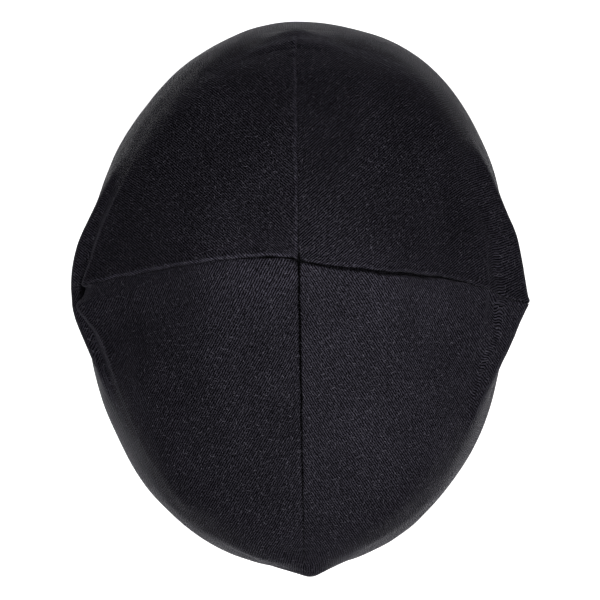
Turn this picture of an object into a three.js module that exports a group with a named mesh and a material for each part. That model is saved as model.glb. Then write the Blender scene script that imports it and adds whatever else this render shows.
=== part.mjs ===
// Two-piece beanie in fine black cotton jersey, standing open on its rim.
//
// Millimetres, +Z up. -Y is the front of the hat and +Y the back. The origin is on the resting
// plane, under the middle of the hat's box.
//
// The hat is two panels of cloth joined by one seam that runs from the rim over the crown to the
// rim again. Each panel has a centre dart, sewn from the crown down to a dart tip, below which its
// cloth runs on unbroken. Where the side seam leaves the crown the cloth stands out as an ear: a
// flat pointed flap on the right, and on the left a flap that has folded down into a step with a
// small pocket in it. A turned-up hem lies inside the rim.
//
// Every place on the cloth is found from three things: an angle about the crown, a height, and how
// far the cloth stands off the smooth egg of the head at that angle and height.

import * as THREE from "three";
import { mergeVertices } from "three/addons/utils/BufferGeometryUtils.js";

// ---------------------------------------------------------------- driving dimensions, mm

const HEIGHT = 168; // rim to crown
const WIDEST_LEVEL = 73; // height of the widest line round the hat
const HALF_WIDTH = 79; // the widest line, from its middle to a side, ears left out
const FRONT_LENGTH = 106; // the widest line, from its middle to the front
const BACK_LENGTH = 98; // the widest line, from its middle to the back
const CROWN = { x: 1.2, y: 7.3 }; // crossing of the seams, from the middle of the widest line
const RIM_TAPER = 0.055; // how much smaller the rim is than the widest line, as a share
const RIM_EASE = 1.6; // how gradually the wall turns in towards the rim

const CLOTH = 1.6; // wall of doubled jersey
const SEAM_GAP = 0.3; // between two sewn edges
const SEAM_BOW = 3.1; // how far the side seams bow to the back of a straight line
const DART_CLOSING = 8; // height over which a dart narrows to its tip

const HEM_HEIGHT = 24;
const HEM_CLOTH = 1.2;
const HEM_GAP = 0.3; // between the hem and the wall

// Exponents of the superellipses: 2 is an ellipse, more is squarer.
const DOME_ROUNDNESS = 2.15;
const OUTLINE_ROUNDNESS = { backRight: 2.34, backLeft: 1.93, frontRight: 2.07, frontLeft: 1.99 };

// Angles about the crown, in degrees from +X, where the seams and darts run.
const SEAM_ANGLE = { right: -8.8, back: 90.5, left: 184.4, front: 271 };
const DART_TIP = { front: 100, back: 118 }; // heights

// What pulls the cloth off the egg at the four corners. Each disc lies flat at the corner's
// level, at a place from the middle of the widest line, and the cloth is drawn tight round the
// egg and the corner's discs, as a string would be. from and to are angles about the crown.
const CORNERS = [
  { name: "right", from: -52, to: 40, level: 113, discs: [
    { x: 84.1, y: -5.7, radius: 0.8 },
    { x: 52.1, y: 3.7, radius: 30 },
  ] },
  { name: "back", from: 72, to: 110, level: 118, discs: [{ x: 0.4, y: 76.3, radius: 15 }] },
  { name: "left", from: 146, to: 220, level: 110, discs: [{ x: -42.1, y: 0, radius: 40 }] },
  { name: "front", from: 244, to: 298, level: 100, discs: [{ x: 4.6, y: -100.9, radius: 6 }] },
];

// The folds, a row for each place round the hat. angle is about the crown; the rest is mm. From
// the top down the cloth passes over a crest, into a valley and out to a lip, and comes back to
// the wall under the lip. Each has a height, and the crest and valley have their distance off
// the egg there. The lip's distance comes from the corners above.
const FOLDS = [
  { angle: -50, crest: 123, crestOff: 0, valley: 118, valleyOff: 0, lip: 113, under: 96 },
  { angle: -38, crest: 121, crestOff: 0.4, valley: 117, valleyOff: 0.6, lip: 113, under: 96 },
  { angle: -26, crest: 120, crestOff: 0.6, valley: 115.5, valleyOff: 0.2, lip: 111.5, under: 96 },
  { angle: -16, crest: 119.5, crestOff: 0, valley: 114.5, valleyOff: -1.2, lip: 110, under: 97 },
  { angle: -8.8, crest: 119, crestOff: 0, valley: 113, valleyOff: -1.6, lip: 109, under: 98 },
  { angle: 2, crest: 118.5, crestOff: 0.3, valley: 112, valleyOff: -1.8, lip: 109, under: 97 },
  { angle: 11, crest: 119.5, crestOff: 0.3, valley: 113.5, valleyOff: -1.4, lip: 110.5, under: 96 },
  { angle: 22, crest: 121.5, crestOff: 0.2, valley: 116.5, valleyOff: -0.6, lip: 112.5, under: 96 },
  { angle: 36, crest: 123, crestOff: 0, valley: 118, valleyOff: 0, lip: 113, under: 96 },
  { angle: 74, crest: 127, crestOff: 0, valley: 123, valleyOff: 0, lip: 118, under: 104 },
  { angle: 90.5, crest: 126, crestOff: 0.3, valley: 122, valleyOff: 0.8, lip: 118, under: 111 },
  { angle: 108, crest: 127, crestOff: 0, valley: 123, valleyOff: 0, lip: 118, under: 104 },
  { angle: 148, crest: 121, crestOff: 0, valley: 116, valleyOff: 0, lip: 110, under: 96 },
  { angle: 162, crest: 118, crestOff: 0.1, valley: 112.5, valleyOff: -0.7, lip: 108.5, under: 95 },
  { angle: 171, crest: 113.5, crestOff: 0.7, valley: 107.5, valleyOff: -1, lip: 106, under: 94 },
  { angle: 178, crest: 111.5, crestOff: 2.4, valley: 105, valleyOff: 0, lip: 105, under: 94 },
  { angle: 184.4, crest: 110, crestOff: 3.5, valley: 101, valleyOff: 0, lip: 104.5, under: 93 },
  { angle: 187.5, crest: 112, crestOff: 0.8, valley: 99, valleyOff: -0.6, lip: 104.5, under: 93 },
  { angle: 190, crest: 112, crestOff: 1.6, valley: 103, valleyOff: 1.2, lip: 105, under: 93 },
  { angle: 192, crest: 108.5, crestOff: 5, valley: 106, valleyOff: 4, lip: 105.5, under: 94 },
  { angle: 195, crest: 109, crestOff: 3.8, valley: 106, valleyOff: 1.8, lip: 105.5, under: 94 },
  { angle: 199, crest: 111, crestOff: 1.2, valley: 107.3, valleyOff: -0.6, lip: 106, under: 94 },
  { angle: 203, crest: 113.5, crestOff: 0.1, valley: 109.5, valleyOff: -1, lip: 107, under: 95 },
  { angle: 208, crest: 117.5, crestOff: 0, valley: 113, valleyOff: -0.4, lip: 108.5, under: 96 },
  { angle: 218, crest: 121, crestOff: 0, valley: 116, valleyOff: 0, lip: 110, under: 96 },
  { angle: 246, crest: 116, crestOff: 0, valley: 108, valleyOff: 0, lip: 100, under: 88 },
  { angle: 271, crest: 116, crestOff: 0.4, valley: 108, valleyOff: 1.4, lip: 100, under: 86 },
  { angle: 296, crest: 116, crestOff: 0, valley: 108, valleyOff: 0, lip: 100, under: 88 },
];
const UNDER_OFF = 0.12; // how far the cloth still stands off under a lip, as a share of the lip
const SHOULDER_LEVEL = 131; // above this the cloth lies on the egg everywhere

// How finely the cloth is faceted.
const DOME_ROWS = 9; // crown to shoulder
const FOLD_ROWS = { crest: 2, valley: 2, lip: 3, under: 3 };
const WALL_ROWS = { widest: 2, rim: 4 };
const COLUMNS = 18; // in a gore, between a seam and a dart
const CROWDING = 0.7; // how much closer together they stand near both, as a share
const HEM_ROWS = 2;
const TAUT_SWEEP = 75; // degrees to each side that a taut line is looked for, and in how many
const TAUT_STEPS = 300; // steps
const TOUCH = 0.01; // lengths closer than this count as the same
const MERGE = 0.001; // corners closer than this are one
const FULL_TURN = 360;

const COLOUR = { cloth: 0x1b1a1f, hem: 0x1b1a1f };

// ---------------------------------------------------------------- the egg and the taut corners

const radians = THREE.MathUtils.degToRad;

/** Girth at a height, as a share of the widest line. */
function girth(height) {
  if (height >= WIDEST_LEVEL) {
    const up = Math.min(1, (height - WIDEST_LEVEL) / (HEIGHT - WIDEST_LEVEL));
    return (1 - up ** DOME_ROUNDNESS) ** (1 / DOME_ROUNDNESS);
  }
  const down = (WIDEST_LEVEL - height) / WIDEST_LEVEL;
  return 1 - RIM_TAPER * down ** RIM_EASE;
}

/** Distance from the crown's plumb line to the line that just touches the widest line, seen in
 * plan, on the side that an angle faces. */
function outlineSupport(angle) {
  const isBack = Math.sin(angle) > 0;
  const isRight = Math.cos(angle) > 0;
  const quarter = (isBack ? "back" : "front") + (isRight ? "Right" : "Left");
  const roundness = OUTLINE_ROUNDNESS[quarter];
  const dual = roundness / (roundness - 1);
  const across = HALF_WIDTH * Math.abs(Math.cos(angle));
  const along = (isBack ? BACK_LENGTH : FRONT_LENGTH) * Math.abs(Math.sin(angle));
  const support = (across ** dual + along ** dual) ** (1 / dual);
  return support - CROWN.x * Math.cos(angle) - CROWN.y * Math.sin(angle);
}

/** How far a string drawn tight round the outline at a share of its size, and round some discs,
 * lies from the crown's plumb line at an angle. */
function taut(angle, share, discs) {
  let reach = Infinity;
  for (let i = 0; i <= TAUT_STEPS; i += 1) {
    const turn = radians(TAUT_SWEEP) * ((2 * i) / TAUT_STEPS - 1);
    const cos = Math.cos(angle + turn);
    const sin = Math.sin(angle + turn);
    let support = share * outlineSupport(angle + turn);
    for (const disc of discs) {
      const pull = (disc.x - CROWN.x) * cos + (disc.y - CROWN.y) * sin + disc.radius;
      support = Math.max(support, pull);
    }
    reach = Math.min(reach, support / Math.cos(turn));
  }
  return reach;
}

/** A smooth curve through a column of the folds table, with no overshoot between its rows. */
function alongFolds(name, degrees) {
  const first = FOLDS[0].angle;
  const at = THREE.MathUtils.euclideanModulo(degrees - first, FULL_TURN) + first;
  const count = FOLDS.length;
  const row = (i) => FOLDS[THREE.MathUtils.euclideanModulo(i, count)];
  const angleOf = (i) => row(i).angle + FULL_TURN * Math.floor(i / count);
  const slope = (i) => (row(i + 1)[name] - row(i)[name]) / (angleOf(i + 1) - angleOf(i));
  const tangent = (i) => {
    const before = slope(i - 1);
    const after = slope(i);
    return before * after <= 0 ? 0 : (2 * before * after) / (before + after);
  };
  let i = 0;
  while (angleOf(i + 1) < at) i += 1;
  const span = angleOf(i + 1) - angleOf(i);
  const t = (at - angleOf(i)) / span;
  return (
    row(i)[name] * (1 + 2 * t) * (1 - t) ** 2 +
    tangent(i) * span * t * (1 - t) ** 2 +
    row(i + 1)[name] * (3 - 2 * t) * t ** 2 -
    tangent(i + 1) * span * (1 - t) * t ** 2
  );
}

// ---------------------------------------------------------------- one column of the cloth

/** The cloth's outer face from crown to rim at an angle about the crown: a list of heights, each
 * with its reach from the crown's plumb line, as many in every column. */
function outerProfile(degrees) {
  const angle = radians(degrees);
  const widest = taut(angle, 1, []);
  const onEgg = (height, off) => ({ height, reach: girth(height) * widest + off });

  const fold = {};
  for (const name of ["crest", "valley", "lip", "under", "crestOff", "valleyOff"]) {
    fold[name] = alongFolds(name, degrees);
  }
  const corner = CORNERS.find(({ from, to }) =>
    THREE.MathUtils.euclideanModulo(degrees - from, FULL_TURN) < to - from);
  let lipOff = 0;
  if (corner) {
    const share = girth(corner.level);
    const pulled = taut(angle, share, corner.discs);
    const isPulled = pulled > share * widest + TOUCH;
    lipOff = isPulled ? pulled - girth(fold.lip) * widest : 0;
  }

  const rows = [];
  const shoulderTurn = Math.acos(
    ((SHOULDER_LEVEL - WIDEST_LEVEL) / (HEIGHT - WIDEST_LEVEL)) ** (DOME_ROUNDNESS / 2));
  for (let i = 0; i <= DOME_ROWS; i += 1) {
    const up = Math.cos((shoulderTurn * i) / DOME_ROWS) ** (2 / DOME_ROUNDNESS);
    rows.push(onEgg(WIDEST_LEVEL + (HEIGHT - WIDEST_LEVEL) * up, 0));
  }
  const stations = [
    { height: SHOULDER_LEVEL, off: 0 },
    { height: fold.crest, off: fold.crestOff, steps: FOLD_ROWS.crest },
    { height: fold.valley, off: fold.valleyOff, steps: FOLD_ROWS.valley },
    { height: fold.lip, off: lipOff, steps: FOLD_ROWS.lip },
    { height: fold.under, off: lipOff * UNDER_OFF, steps: FOLD_ROWS.under },
    { height: WIDEST_LEVEL, off: 0, steps: WALL_ROWS.widest },
    { height: 0, off: 0, steps: WALL_ROWS.rim },
  ];
  for (let i = 1; i < stations.length; i += 1) {
    const [above, below] = [stations[i - 1], stations[i]];
    for (let step = 1; step <= below.steps; step += 1) {
      const t = step / below.steps;
      const height = THREE.MathUtils.lerp(above.height, below.height, t);
      rows.push(onEgg(height, THREE.MathUtils.lerp(above.off, below.off, t)));
    }
  }
  return rows;
}

/** The same column moved inwards by a distance, with its folds eased so that it never crosses
 * itself. The crown row stays on the crown's plumb line and the rim row on the resting plane. */
function insetProfile(profile, distance) {
  const last = profile.length - 1;
  const eased = profile.map((point, i) => {
    if (i === 0 || i === last) return point;
    const blend = (name) => (profile[i - 1][name] + 2 * point[name] + profile[i + 1][name]) / 4;
    return { height: blend("height"), reach: blend("reach") };
  });
  return eased.map((point, i) => {
    if (i === 0) return { height: point.height - distance, reach: 0 };
    const above = eased[i - 1];
    const below = eased[Math.min(last, i + 1)];
    const fall = above.height - below.height;
    const run = below.reach - above.reach;
    const length = Math.hypot(fall, run);
    if (i === last) return { height: 0, reach: point.reach - distance };
    return {
      height: point.height - (distance * run) / length,
      reach: point.reach - (distance * fall) / length,
    };
  });
}

/** A column's rows in space. The side seams bow, and so does the cloth beside them. */
function place(profile, degrees) {
  const angle = radians(degrees);
  const widest = taut(angle, 1, []);
  return profile.map(({ height, reach }) => {
    const share = height > WIDEST_LEVEL ? Math.min(1, reach / widest) : 1;
    const bow = SEAM_BOW * Math.cos(angle) ** 4 * Math.sin(Math.PI * share);
    return new THREE.Vector3(
      CROWN.x + reach * Math.cos(angle),
      CROWN.y + reach * Math.sin(angle) + bow,
      height,
    );
  });
}

// ---------------------------------------------------------------- building closed solids

/** Collects triangles of named points into one closed geometry. */
class Shell {
  constructor() {
    this.positions = [];
  }

  triangle(a, b, c) {
    for (const { x, y, z } of [a, b, c]) this.positions.push(x, y, z);
  }

  quad(a, b, c, d) {
    this.triangle(a, b, c);
    this.triangle(a, c, d);
  }

  geometry() {
    const geometry = new THREE.BufferGeometry();
    geometry.setAttribute("position", new THREE.Float32BufferAttribute(this.positions, 3));
    const merged = mergeVertices(geometry, MERGE);
    merged.computeVertexNormals();
    return merged;
  }
}

/** Angles of the columns from one edge of a gore to the other, closer together at both edges. */
function goreAngles(from, to) {
  return Array.from({ length: COLUMNS + 1 }, (_, i) => {
    const even = i / COLUMNS;
    const crowded = (1 - Math.cos(Math.PI * even)) / 2;
    return THREE.MathUtils.lerp(from, to, THREE.MathUtils.lerp(even, crowded, CROWDING));
  });
}

/** One gore's columns. side moves it off the seams: x towards +X or -X off the dart, and y
 * towards +Y or -Y off the side seams. The dart's gap closes towards its tip. */
function goreColumns(from, to, side, tipHeight) {
  return goreAngles(from, to).map((degrees) => {
    const outer = outerProfile(degrees);
    const inner = insetProfile(outer, CLOTH);
    const move = (point, i) => {
      const open = THREE.MathUtils.clamp((outer[i].height - tipHeight) / DART_CLOSING, 0, 1);
      point.x += (side.x * SEAM_GAP * open) / 2;
      point.y += (side.y * SEAM_GAP) / 2;
      return point;
    };
    return { outer: place(outer, degrees).map(move), inner: place(inner, degrees).map(move) };
  });
}

/** A panel: two gores that are cut apart from the crown to the dart's tip and are one cloth
 * below it. The angles run anticlockwise seen from above. */
function panelGeometry({ from, dart, to, tipHeight, firstX, y }) {
  const first = goreColumns(from, dart, { x: firstX, y }, tipHeight);
  const second = goreColumns(dart, to, { x: -firstX, y }, tipHeight);
  const rowCount = first[0].outer.length;
  const last = rowCount - 1;
  const dartProfile = outerProfile(dart);
  const tipRow = dartProfile.findIndex(({ height }) => height < tipHeight + TOUCH);

  const shell = new Shell();
  const edge = (column, end, isStart) => {
    for (let row = 0; row < end; row += 1) {
      const [a, b] = [column.outer[row], column.outer[row + 1]];
      const [c, d] = [column.inner[row + 1], column.inner[row]];
      if (isStart) shell.quad(a, d, c, b);
      else shell.quad(a, b, c, d);
    }
  };
  for (const columns of [first, second]) {
    for (let i = 0; i + 1 < columns.length; i += 1) {
      const [left, right] = [columns[i], columns[i + 1]];
      shell.triangle(left.outer[0], left.outer[1], right.outer[1]);
      shell.triangle(left.inner[0], right.inner[1], left.inner[1]);
      for (let row = 1; row < last; row += 1) {
        shell.quad(left.outer[row], left.outer[row + 1], right.outer[row + 1], right.outer[row]);
        shell.quad(left.inner[row], right.inner[row], right.inner[row + 1], left.inner[row + 1]);
      }
      shell.quad(left.outer[last], left.inner[last], right.inner[last], right.outer[last]);
    }
  }
  edge(first[0], last, true);
  edge(first[COLUMNS], tipRow, false);
  edge(second[0], tipRow, true);
  edge(second[COLUMNS], last, false);
  return shell.geometry();
}

/** The turned-up hem: a ring inside the rim that keeps a small gap to the wall. */
function hemGeometry() {
  const { right, back, left, front } = SEAM_ANGLE;
  const gores = [[right, back], [back, left], [left, front], [front, right + FULL_TURN]];
  const angles = gores.flatMap(([from, to]) => goreAngles(from, to).slice(0, -1));
  const ringPoint = (degrees, height, inset) => {
    const angle = radians(degrees);
    const reach = girth(height) * taut(angle, 1, []) - inset;
    return new THREE.Vector3(
      CROWN.x + reach * Math.cos(angle), CROWN.y + reach * Math.sin(angle), height);
  };
  const outset = CLOTH + HEM_GAP + SEAM_GAP / 2;
  const columns = angles.map((degrees) => {
    const points = [];
    for (let i = 0; i <= HEM_ROWS; i += 1) {
      points.push(ringPoint(degrees, HEM_HEIGHT * (1 - i / HEM_ROWS), outset));
    }
    for (let i = HEM_ROWS; i >= 0; i -= 1) {
      points.push(ringPoint(degrees, HEM_HEIGHT * (1 - i / HEM_ROWS), outset + HEM_CLOTH));
    }
    return points;
  });
  const shell = new Shell();
  columns.forEach((column, i) => {
    const next = columns[(i + 1) % columns.length];
    column.forEach((point, row) => {
      const below = (row + 1) % column.length;
      shell.quad(point, column[below], next[below], next[row]);
    });
  });
  return shell.geometry();
}

// ---------------------------------------------------------------- the hat

const jersey = (color) => new THREE.MeshStandardMaterial({ color, roughness: 0.95, metalness: 0 });

const beanie = new THREE.Group();

function addPiece(name, geometry, color) {
  const mesh = new THREE.Mesh(geometry, jersey(color));
  mesh.name = name;
  beanie.add(mesh);
}

addPiece("back_panel", panelGeometry({
  from: SEAM_ANGLE.right,
  dart: SEAM_ANGLE.back,
  to: SEAM_ANGLE.left,
  tipHeight: DART_TIP.back,
  firstX: 1,
  y: 1,
}), COLOUR.cloth);

addPiece("front_panel", panelGeometry({
  from: SEAM_ANGLE.left,
  dart: SEAM_ANGLE.front,
  to: SEAM_ANGLE.right + FULL_TURN,
  tipHeight: DART_TIP.front,
  firstX: -1,
  y: -1,
}), COLOUR.cloth);

addPiece("hem", hemGeometry(), COLOUR.hem);

// The origin goes under the middle of the hat's box.
const box = new THREE.Box3().setFromObject(beanie);
const middle = box.getCenter(new THREE.Vector3());
for (const mesh of beanie.children) mesh.geometry.translate(-middle.x, -middle.y, -box.min.z);

export default beanie;
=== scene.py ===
"""A two-piece beanie in fine black cotton jersey, standing open on its rim.

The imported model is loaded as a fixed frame, and the cloth is built round it: two panels with
rolled seam edges, the turned-up hem, the seam turnings inside, and the stitches of the hem.
Shapes are worked out in millimetres, +Z up and -Y to the front of the hat, and become metres
when a mesh is made.
"""

import functools
import math

import bmesh
import bpy
import numpy as np
from bpy.props import FloatProperty, FloatVectorProperty, PointerProperty
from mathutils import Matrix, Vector


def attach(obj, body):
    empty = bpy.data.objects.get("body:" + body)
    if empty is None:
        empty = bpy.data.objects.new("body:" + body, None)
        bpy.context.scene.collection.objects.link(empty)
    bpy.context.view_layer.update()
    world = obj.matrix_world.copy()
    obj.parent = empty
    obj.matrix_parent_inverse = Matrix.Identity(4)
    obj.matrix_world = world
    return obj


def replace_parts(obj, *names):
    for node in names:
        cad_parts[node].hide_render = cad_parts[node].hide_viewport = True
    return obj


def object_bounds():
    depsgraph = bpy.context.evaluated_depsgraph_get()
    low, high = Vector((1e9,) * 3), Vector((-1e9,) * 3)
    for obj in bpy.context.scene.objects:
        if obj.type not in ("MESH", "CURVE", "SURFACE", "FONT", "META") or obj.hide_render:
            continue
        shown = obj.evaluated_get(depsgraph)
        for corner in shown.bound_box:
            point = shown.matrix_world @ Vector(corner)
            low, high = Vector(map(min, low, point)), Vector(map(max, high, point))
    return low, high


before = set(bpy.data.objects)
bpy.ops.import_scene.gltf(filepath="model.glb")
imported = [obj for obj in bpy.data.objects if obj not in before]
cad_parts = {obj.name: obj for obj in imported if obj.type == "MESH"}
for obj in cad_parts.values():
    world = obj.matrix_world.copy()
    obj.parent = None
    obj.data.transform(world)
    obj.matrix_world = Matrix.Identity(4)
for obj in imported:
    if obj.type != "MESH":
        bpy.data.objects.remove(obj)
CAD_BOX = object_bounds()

bl_info = {
    "name": "Jersey Beanie",
    "version": (1, 0, 0),
    "blender": (4, 5, 0),
    "location": "3D View > Sidebar > Beanie",
    "description": "Builds a two-piece jersey beanie round its packed model",
    "category": "Add Mesh",
}

MM = 0.001  # metres in a millimetre
BODY = "root"

# ---------------------------------------------------------------- the hat's shape, mm

HEIGHT = (CAD_BOX[1].z - CAD_BOX[0].z) / MM  # rim to crown
WIDEST_LEVEL = 73  # height of the widest line round the hat
HALF_WIDTH = 79  # the widest line, from its middle to a side, ears left out
FRONT_LENGTH = 106  # the widest line, from its middle to the front
BACK_LENGTH = 98  # the widest line, from its middle to the back
CROWN = (1.2, 7.3)  # crossing of the seams, from the middle of the widest line
RIM_TAPER = 0.055  # how much smaller the rim is than the widest line, as a share
RIM_EASE = 1.6  # how gradually the wall turns in towards the rim
# How far the side seams bow to the back of a straight line, and where: above 1 the bow is
# fullest beyond the middle, below 1 nearer to the crown.
SEAM_BOW = {"right": (3.5, 2.1), "left": (3.2, 0.6)}
BOW_FADE = 4  # how quickly the bow dies away to both sides of the seam, as a power
DART_CLOSING = 8  # height over which a dart narrows to its tip
DOME_ROUNDNESS = 2.15  # exponent of the superellipse that the dome follows
OUTLINE_ROUNDNESS = {  # and of those that the widest line follows, a quarter each
    "back_right": 2.3, "back_left": 1.91, "front_right": 2.14, "front_left": 2.05,
}
SEAM_ANGLE = {"right": -9.8, "back": 90.5, "left": 185.9, "front": 271}  # about the crown
DART_TIP = {"front": 100, "back": 118}  # heights

# What pulls the cloth off the egg at the four corners, between two angles about the crown. Each
# disc (x, y, radius) lies flat at the corner's level, x and y from the middle of the widest line,
# and the cloth is drawn tight round them.
CORNERS = [
    {"from": -52, "to": 40, "level": 113, "discs": [(85.0, -7.1, 0.8), (50.6, 7.6, 31.8)]},
    {"from": 72, "to": 110, "level": 118, "discs": [(0.4, 76.3, 15)]},
    {"from": 146, "to": 220, "level": 110, "discs": [(-42.1, 0, 40)]},
    {"from": 244, "to": 298, "level": 100, "discs": [(5.4, -101.5, 6)]},
]

# The folds. From the top down the cloth passes over a flank and a crest, into a valley and out to
# a lip, and comes back to the wall under the lip. Each row starts with an angle about the crown.
# Its columns are how straight the cloth runs from shoulder to crest, the crest's height and its
# distance off the egg, how far the cloth is tucked in there, the valley's height and its distance
# off the egg, how far the strip from valley to lip is arched up, the heights of the lip and of
# where it ends underneath, and how pale the crest is: worn, and with a painted highlight on its
# rounded edge.
FOLD_COLUMNS = (
    "flat", "crest", "crest_off", "tuck", "valley", "valley_off", "arch", "lip", "under", "worn_and_painted_light",
)
FOLDS = [
    (-50, 0, 124, 0, 0, 118, 0, 0, 113, 96, 0),
    (-40, 0.4, 124, -1.2, 0, 118, -0.5, 0, 112.5, 96, 0),
    (-30, 0.9, 124, -2, 0, 118, -0.6, 0, 111.5, 96, 0),
    (-20, 1, 124, 0.3, 0, 117.5, 2.4, 0, 110.5, 97, 0),
    (-15, 1, 125, 1, 0, 119, 2.4, 0, 109.5, 98, 0),
    (-9.8, 1, 125, 1.4, 0, 119, 3.7, 0, 109, 98, 0),
    (-3, 1, 125, 1.2, 0, 119.5, 1.9, 0, 109, 97, 0.1),
    (4, 1, 124.5, 0.5, 0, 118.5, 1.9, 0, 109.5, 97, 0.4),
    (12, 1, 125, -2.2, 0, 119, -1, 0, 110.5, 96, 0.4),
    (22, 0.7, 127, -3.3, 0, 121, -2, 0, 111.5, 96, 0.3),
    (32, 0.3, 126, -1, 0, 120, -0.5, 0, 112.5, 96, 0),
    (42, 0, 124, 0, 0, 118, 0, 0, 113, 96, 0),
    (74, 0, 127, 0, 0, 123, 0, 0, 118, 104, 0),
    (90.5, 0, 130, 1.5, 0, 125, 2.15, 0, 118, 111, 0),
    (108, 0, 127, 0, 0, 123, 0, 0, 118, 104, 0),
    (146, 0, 124, 0, 0, 117, 0, 0, 110, 96, 0),
    (154, 0.5, 122, -0.6, 0, 115, -0.4, 0, 109.5, 96, 0),
    (162, 0.9, 119, -0.2, 0, 112.5, -0.7, 0, 108.5, 95, 0.5),
    (171, 1, 116.5, 1, 0, 108, -0.8, 0.5, 106, 94, 0.8),
    (179, 1, 115.5, 2.9, 0, 107, 0, 1, 105, 94, 0.8),
    (185.6, 1, 115, 5.4, 0, 104, 1.5, 2, 104.5, 93, 1),
    (186.9, 1, 114.5, 5.6, 2, 100, -0.4, 3.5, 104.5, 93, 0.3),
    (189, 1, 113, 6.3, 2, 102, 1, 2.5, 105, 93, 0.2),
    (190.6, 1, 112, 6.8, 0, 106, 4, 0, 105.5, 94, 0.7),
    (195, 1, 112.5, 3.8, 0, 106, 1.8, 0, 105.5, 94, 0.8),
    (199, 1, 114, 1.2, 0, 107.3, -0.6, 0, 106, 94, 0.7),
    (203, 0.9, 116, 0.2, 0, 109.5, -1, 0, 107, 95, 0.5),
    (208, 0.6, 118, -0.3, 0, 113, -0.6, 0, 108.5, 96, 0.2),
    (220, 0, 122, 0, 0, 116, 0, 0, 110, 96, 0),
    (246, 0, 116, 0, 0, 108, 0, 0, 100, 88, 0),
    (271, 0, 116, 2.4, 0, 109, 3.2, 0, 100, 86, 0),
    (296, 0, 116, 0, 0, 108, 0, 0, 100, 88, 0),
]
UNDER_OFF = 0.12  # how far the cloth still stands off under a lip, as a share of the lip
ARCH_AT = 0.4  # where the strip from valley to lip is arched, as a share of its width
LIP_SPARE = 0.5  # added to a lip, because rounding its fold draws it in
SHOULDER_LEVEL = 157  # above this the cloth lies on the egg everywhere
CREST_WIDTH = 0.6  # how far from a crest its cloth is worn and painted with a highlight
STRIP_PAINTED_LIGHT = 0.45  # painted light: how much paler the strip below a pale crest is coloured against its shade, as a share of the crest
FINE_LEVEL = 27  # below this the rows are close enough for the hem's stitches

# ---------------------------------------------------------------- cloth, seams and stitches, mm

HEM_GAP = 0.3  # between the wall and the hem
TURNING_GAP = 0.2  # between the wall and the seam turnings
TURNING_WIDTH = 6.5
TURNING_OVERLAP = 0.8  # how far a turning reaches past its seam
TURNING_COLUMNS = 10
TURNING_CLOTH = 1.3  # thickness of its two layers, in the middle
TURNING_EDGE = 0.25  # their thickness at the long edges, as a share of that
TURNING_ROUNDING = 6  # power of the curve between the two
TURNING_START = 9  # down from the crown, where the turnings are first sewn flat
TURNING_PAST_TIP = 4  # how far past a dart's tip its turning runs
TURNING_ABOVE_HEM = 1  # how far above the hem a side seam's turning ends
CUT_EDGE_BAND = 1  # width of the strip that waves along the cut edge
CUT_EDGE_WAVE = (0.25, 2.1)  # how far it waves, and radians of the wave to a millimetre
FACE_WAVE = (0.15, 1.4)  # the same for the turning's face
TURNING_SIDE = {"right": 1, "back": 1, "left": -1, "front": 1}  # 1 is anticlockwise

# How each seam lies. Down the seam from the crown, along gives places, gap the distance between
# its two edges there, depth how far the edges roll down, over the roll's width, and stand how
# much of the swelling is there. swell is how high the cloth stands beside the seam on its
# clockwise side and on its anticlockwise side, seen from above, and the pair after it how pale
# the cloth is there: worn, and with a painted highlight where the raised edge catches the light.
# Down in the seam the depth also sets painted shade. across points to its anticlockwise side,
# and wander is how far the seam strays.
SEAMS = {
    "right": {
        "along": (0, 3, 14, 45, 62, 80, 110, 240),
        "gap": (0.9, 0.35, 0.8, 0.95, 0.5, 0.1, 0.1, 0.1),
        "depth": (1.3, 1.1, 1.2, 1.2, 0.8, 0.35, 0.3, 0.3),
        "stand": (0.6, 1, 1, 1, 1, 0.8, 0.6, 0.3),
        "roll": 0.9, "swell": (0.1, 0.3), "worn_and_painted_light": (0.1, 0.25), "across": (0, 1, 0), "wander": 0.22,
    },
    "back": {
        "along": (0, 3, 20, 60, 240),
        "gap": (0.9, 0.15, 0.05, 0.03, 0),
        "depth": (1.3, 0.3, 0.12, 0.08, 0.05),
        "stand": (0.5, 0.8, 1, 1, 1),
        "roll": 0.6, "swell": (0.02, 0.4), "worn_and_painted_light": (0, 0.9), "across": (-1, 0, 0), "wander": 0.07,
    },
    "left": {
        "along": (0, 3, 12, 20, 60, 92, 101, 240),
        "gap": (0.9, 0.45, 0.45, 0.12, 0.05, 0.02, 0, 0),
        "depth": (1.3, 0.7, 0.7, 0.3, 0.2, 0.1, 0, 0.2),
        "stand": (0.6, 1, 1, 1, 1, 0.8, 0, 0),
        "roll": 0.8, "swell": (0.75, 0.1), "worn_and_painted_light": (1.2, 0), "across": (0, -1, 0), "wander": 0.1,
    },
    "front": {
        "along": (0, 3, 30, 60, 105, 240),
        "gap": (0.9, 0.5, 0.45, 0.3, 0.1, 0.05),
        "depth": (1.3, 0.9, 0.9, 0.7, 0.35, 0.3),
        "stand": (0.5, 0.7, 1, 1, 1, 1),
        "roll": 0.6, "swell": (0.05, 0.05), "worn_and_painted_light": (0, 0), "across": (1, 0, 0), "wander": 0.06,
    },
}
SWELL_AT = 1.3  # how far from the seam line the swelling is highest
SWELL_WIDTH = 0.8
PALEST_AT = 0.8  # how far from the seam line the swelling is palest: most worn, with the painted highlight
PALE_WIDTH = 0.55
SHADED_WIDTH = 0.35  # how far from the seam line the painted shade of the seam reaches
SHADED_DEPTH = 0.9  # the roll at which that painted shade is black
GIVE_WIDTH = 3.5  # how far from a seam the cloth is drawn aside with it
PUCKER_LENGTH = 4.2  # from one pucker to the next
PUCKER_HEIGHT = 0.06
PUCKER_WIDTH = 3.2  # how far a pucker runs from its seam
SWELL_VARIES = 0.35  # how much the swelling changes along a seam, as a share of itself
PALENESS_VARIES = 0.3  # and how pale it is, worn and with its painted highlight
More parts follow.
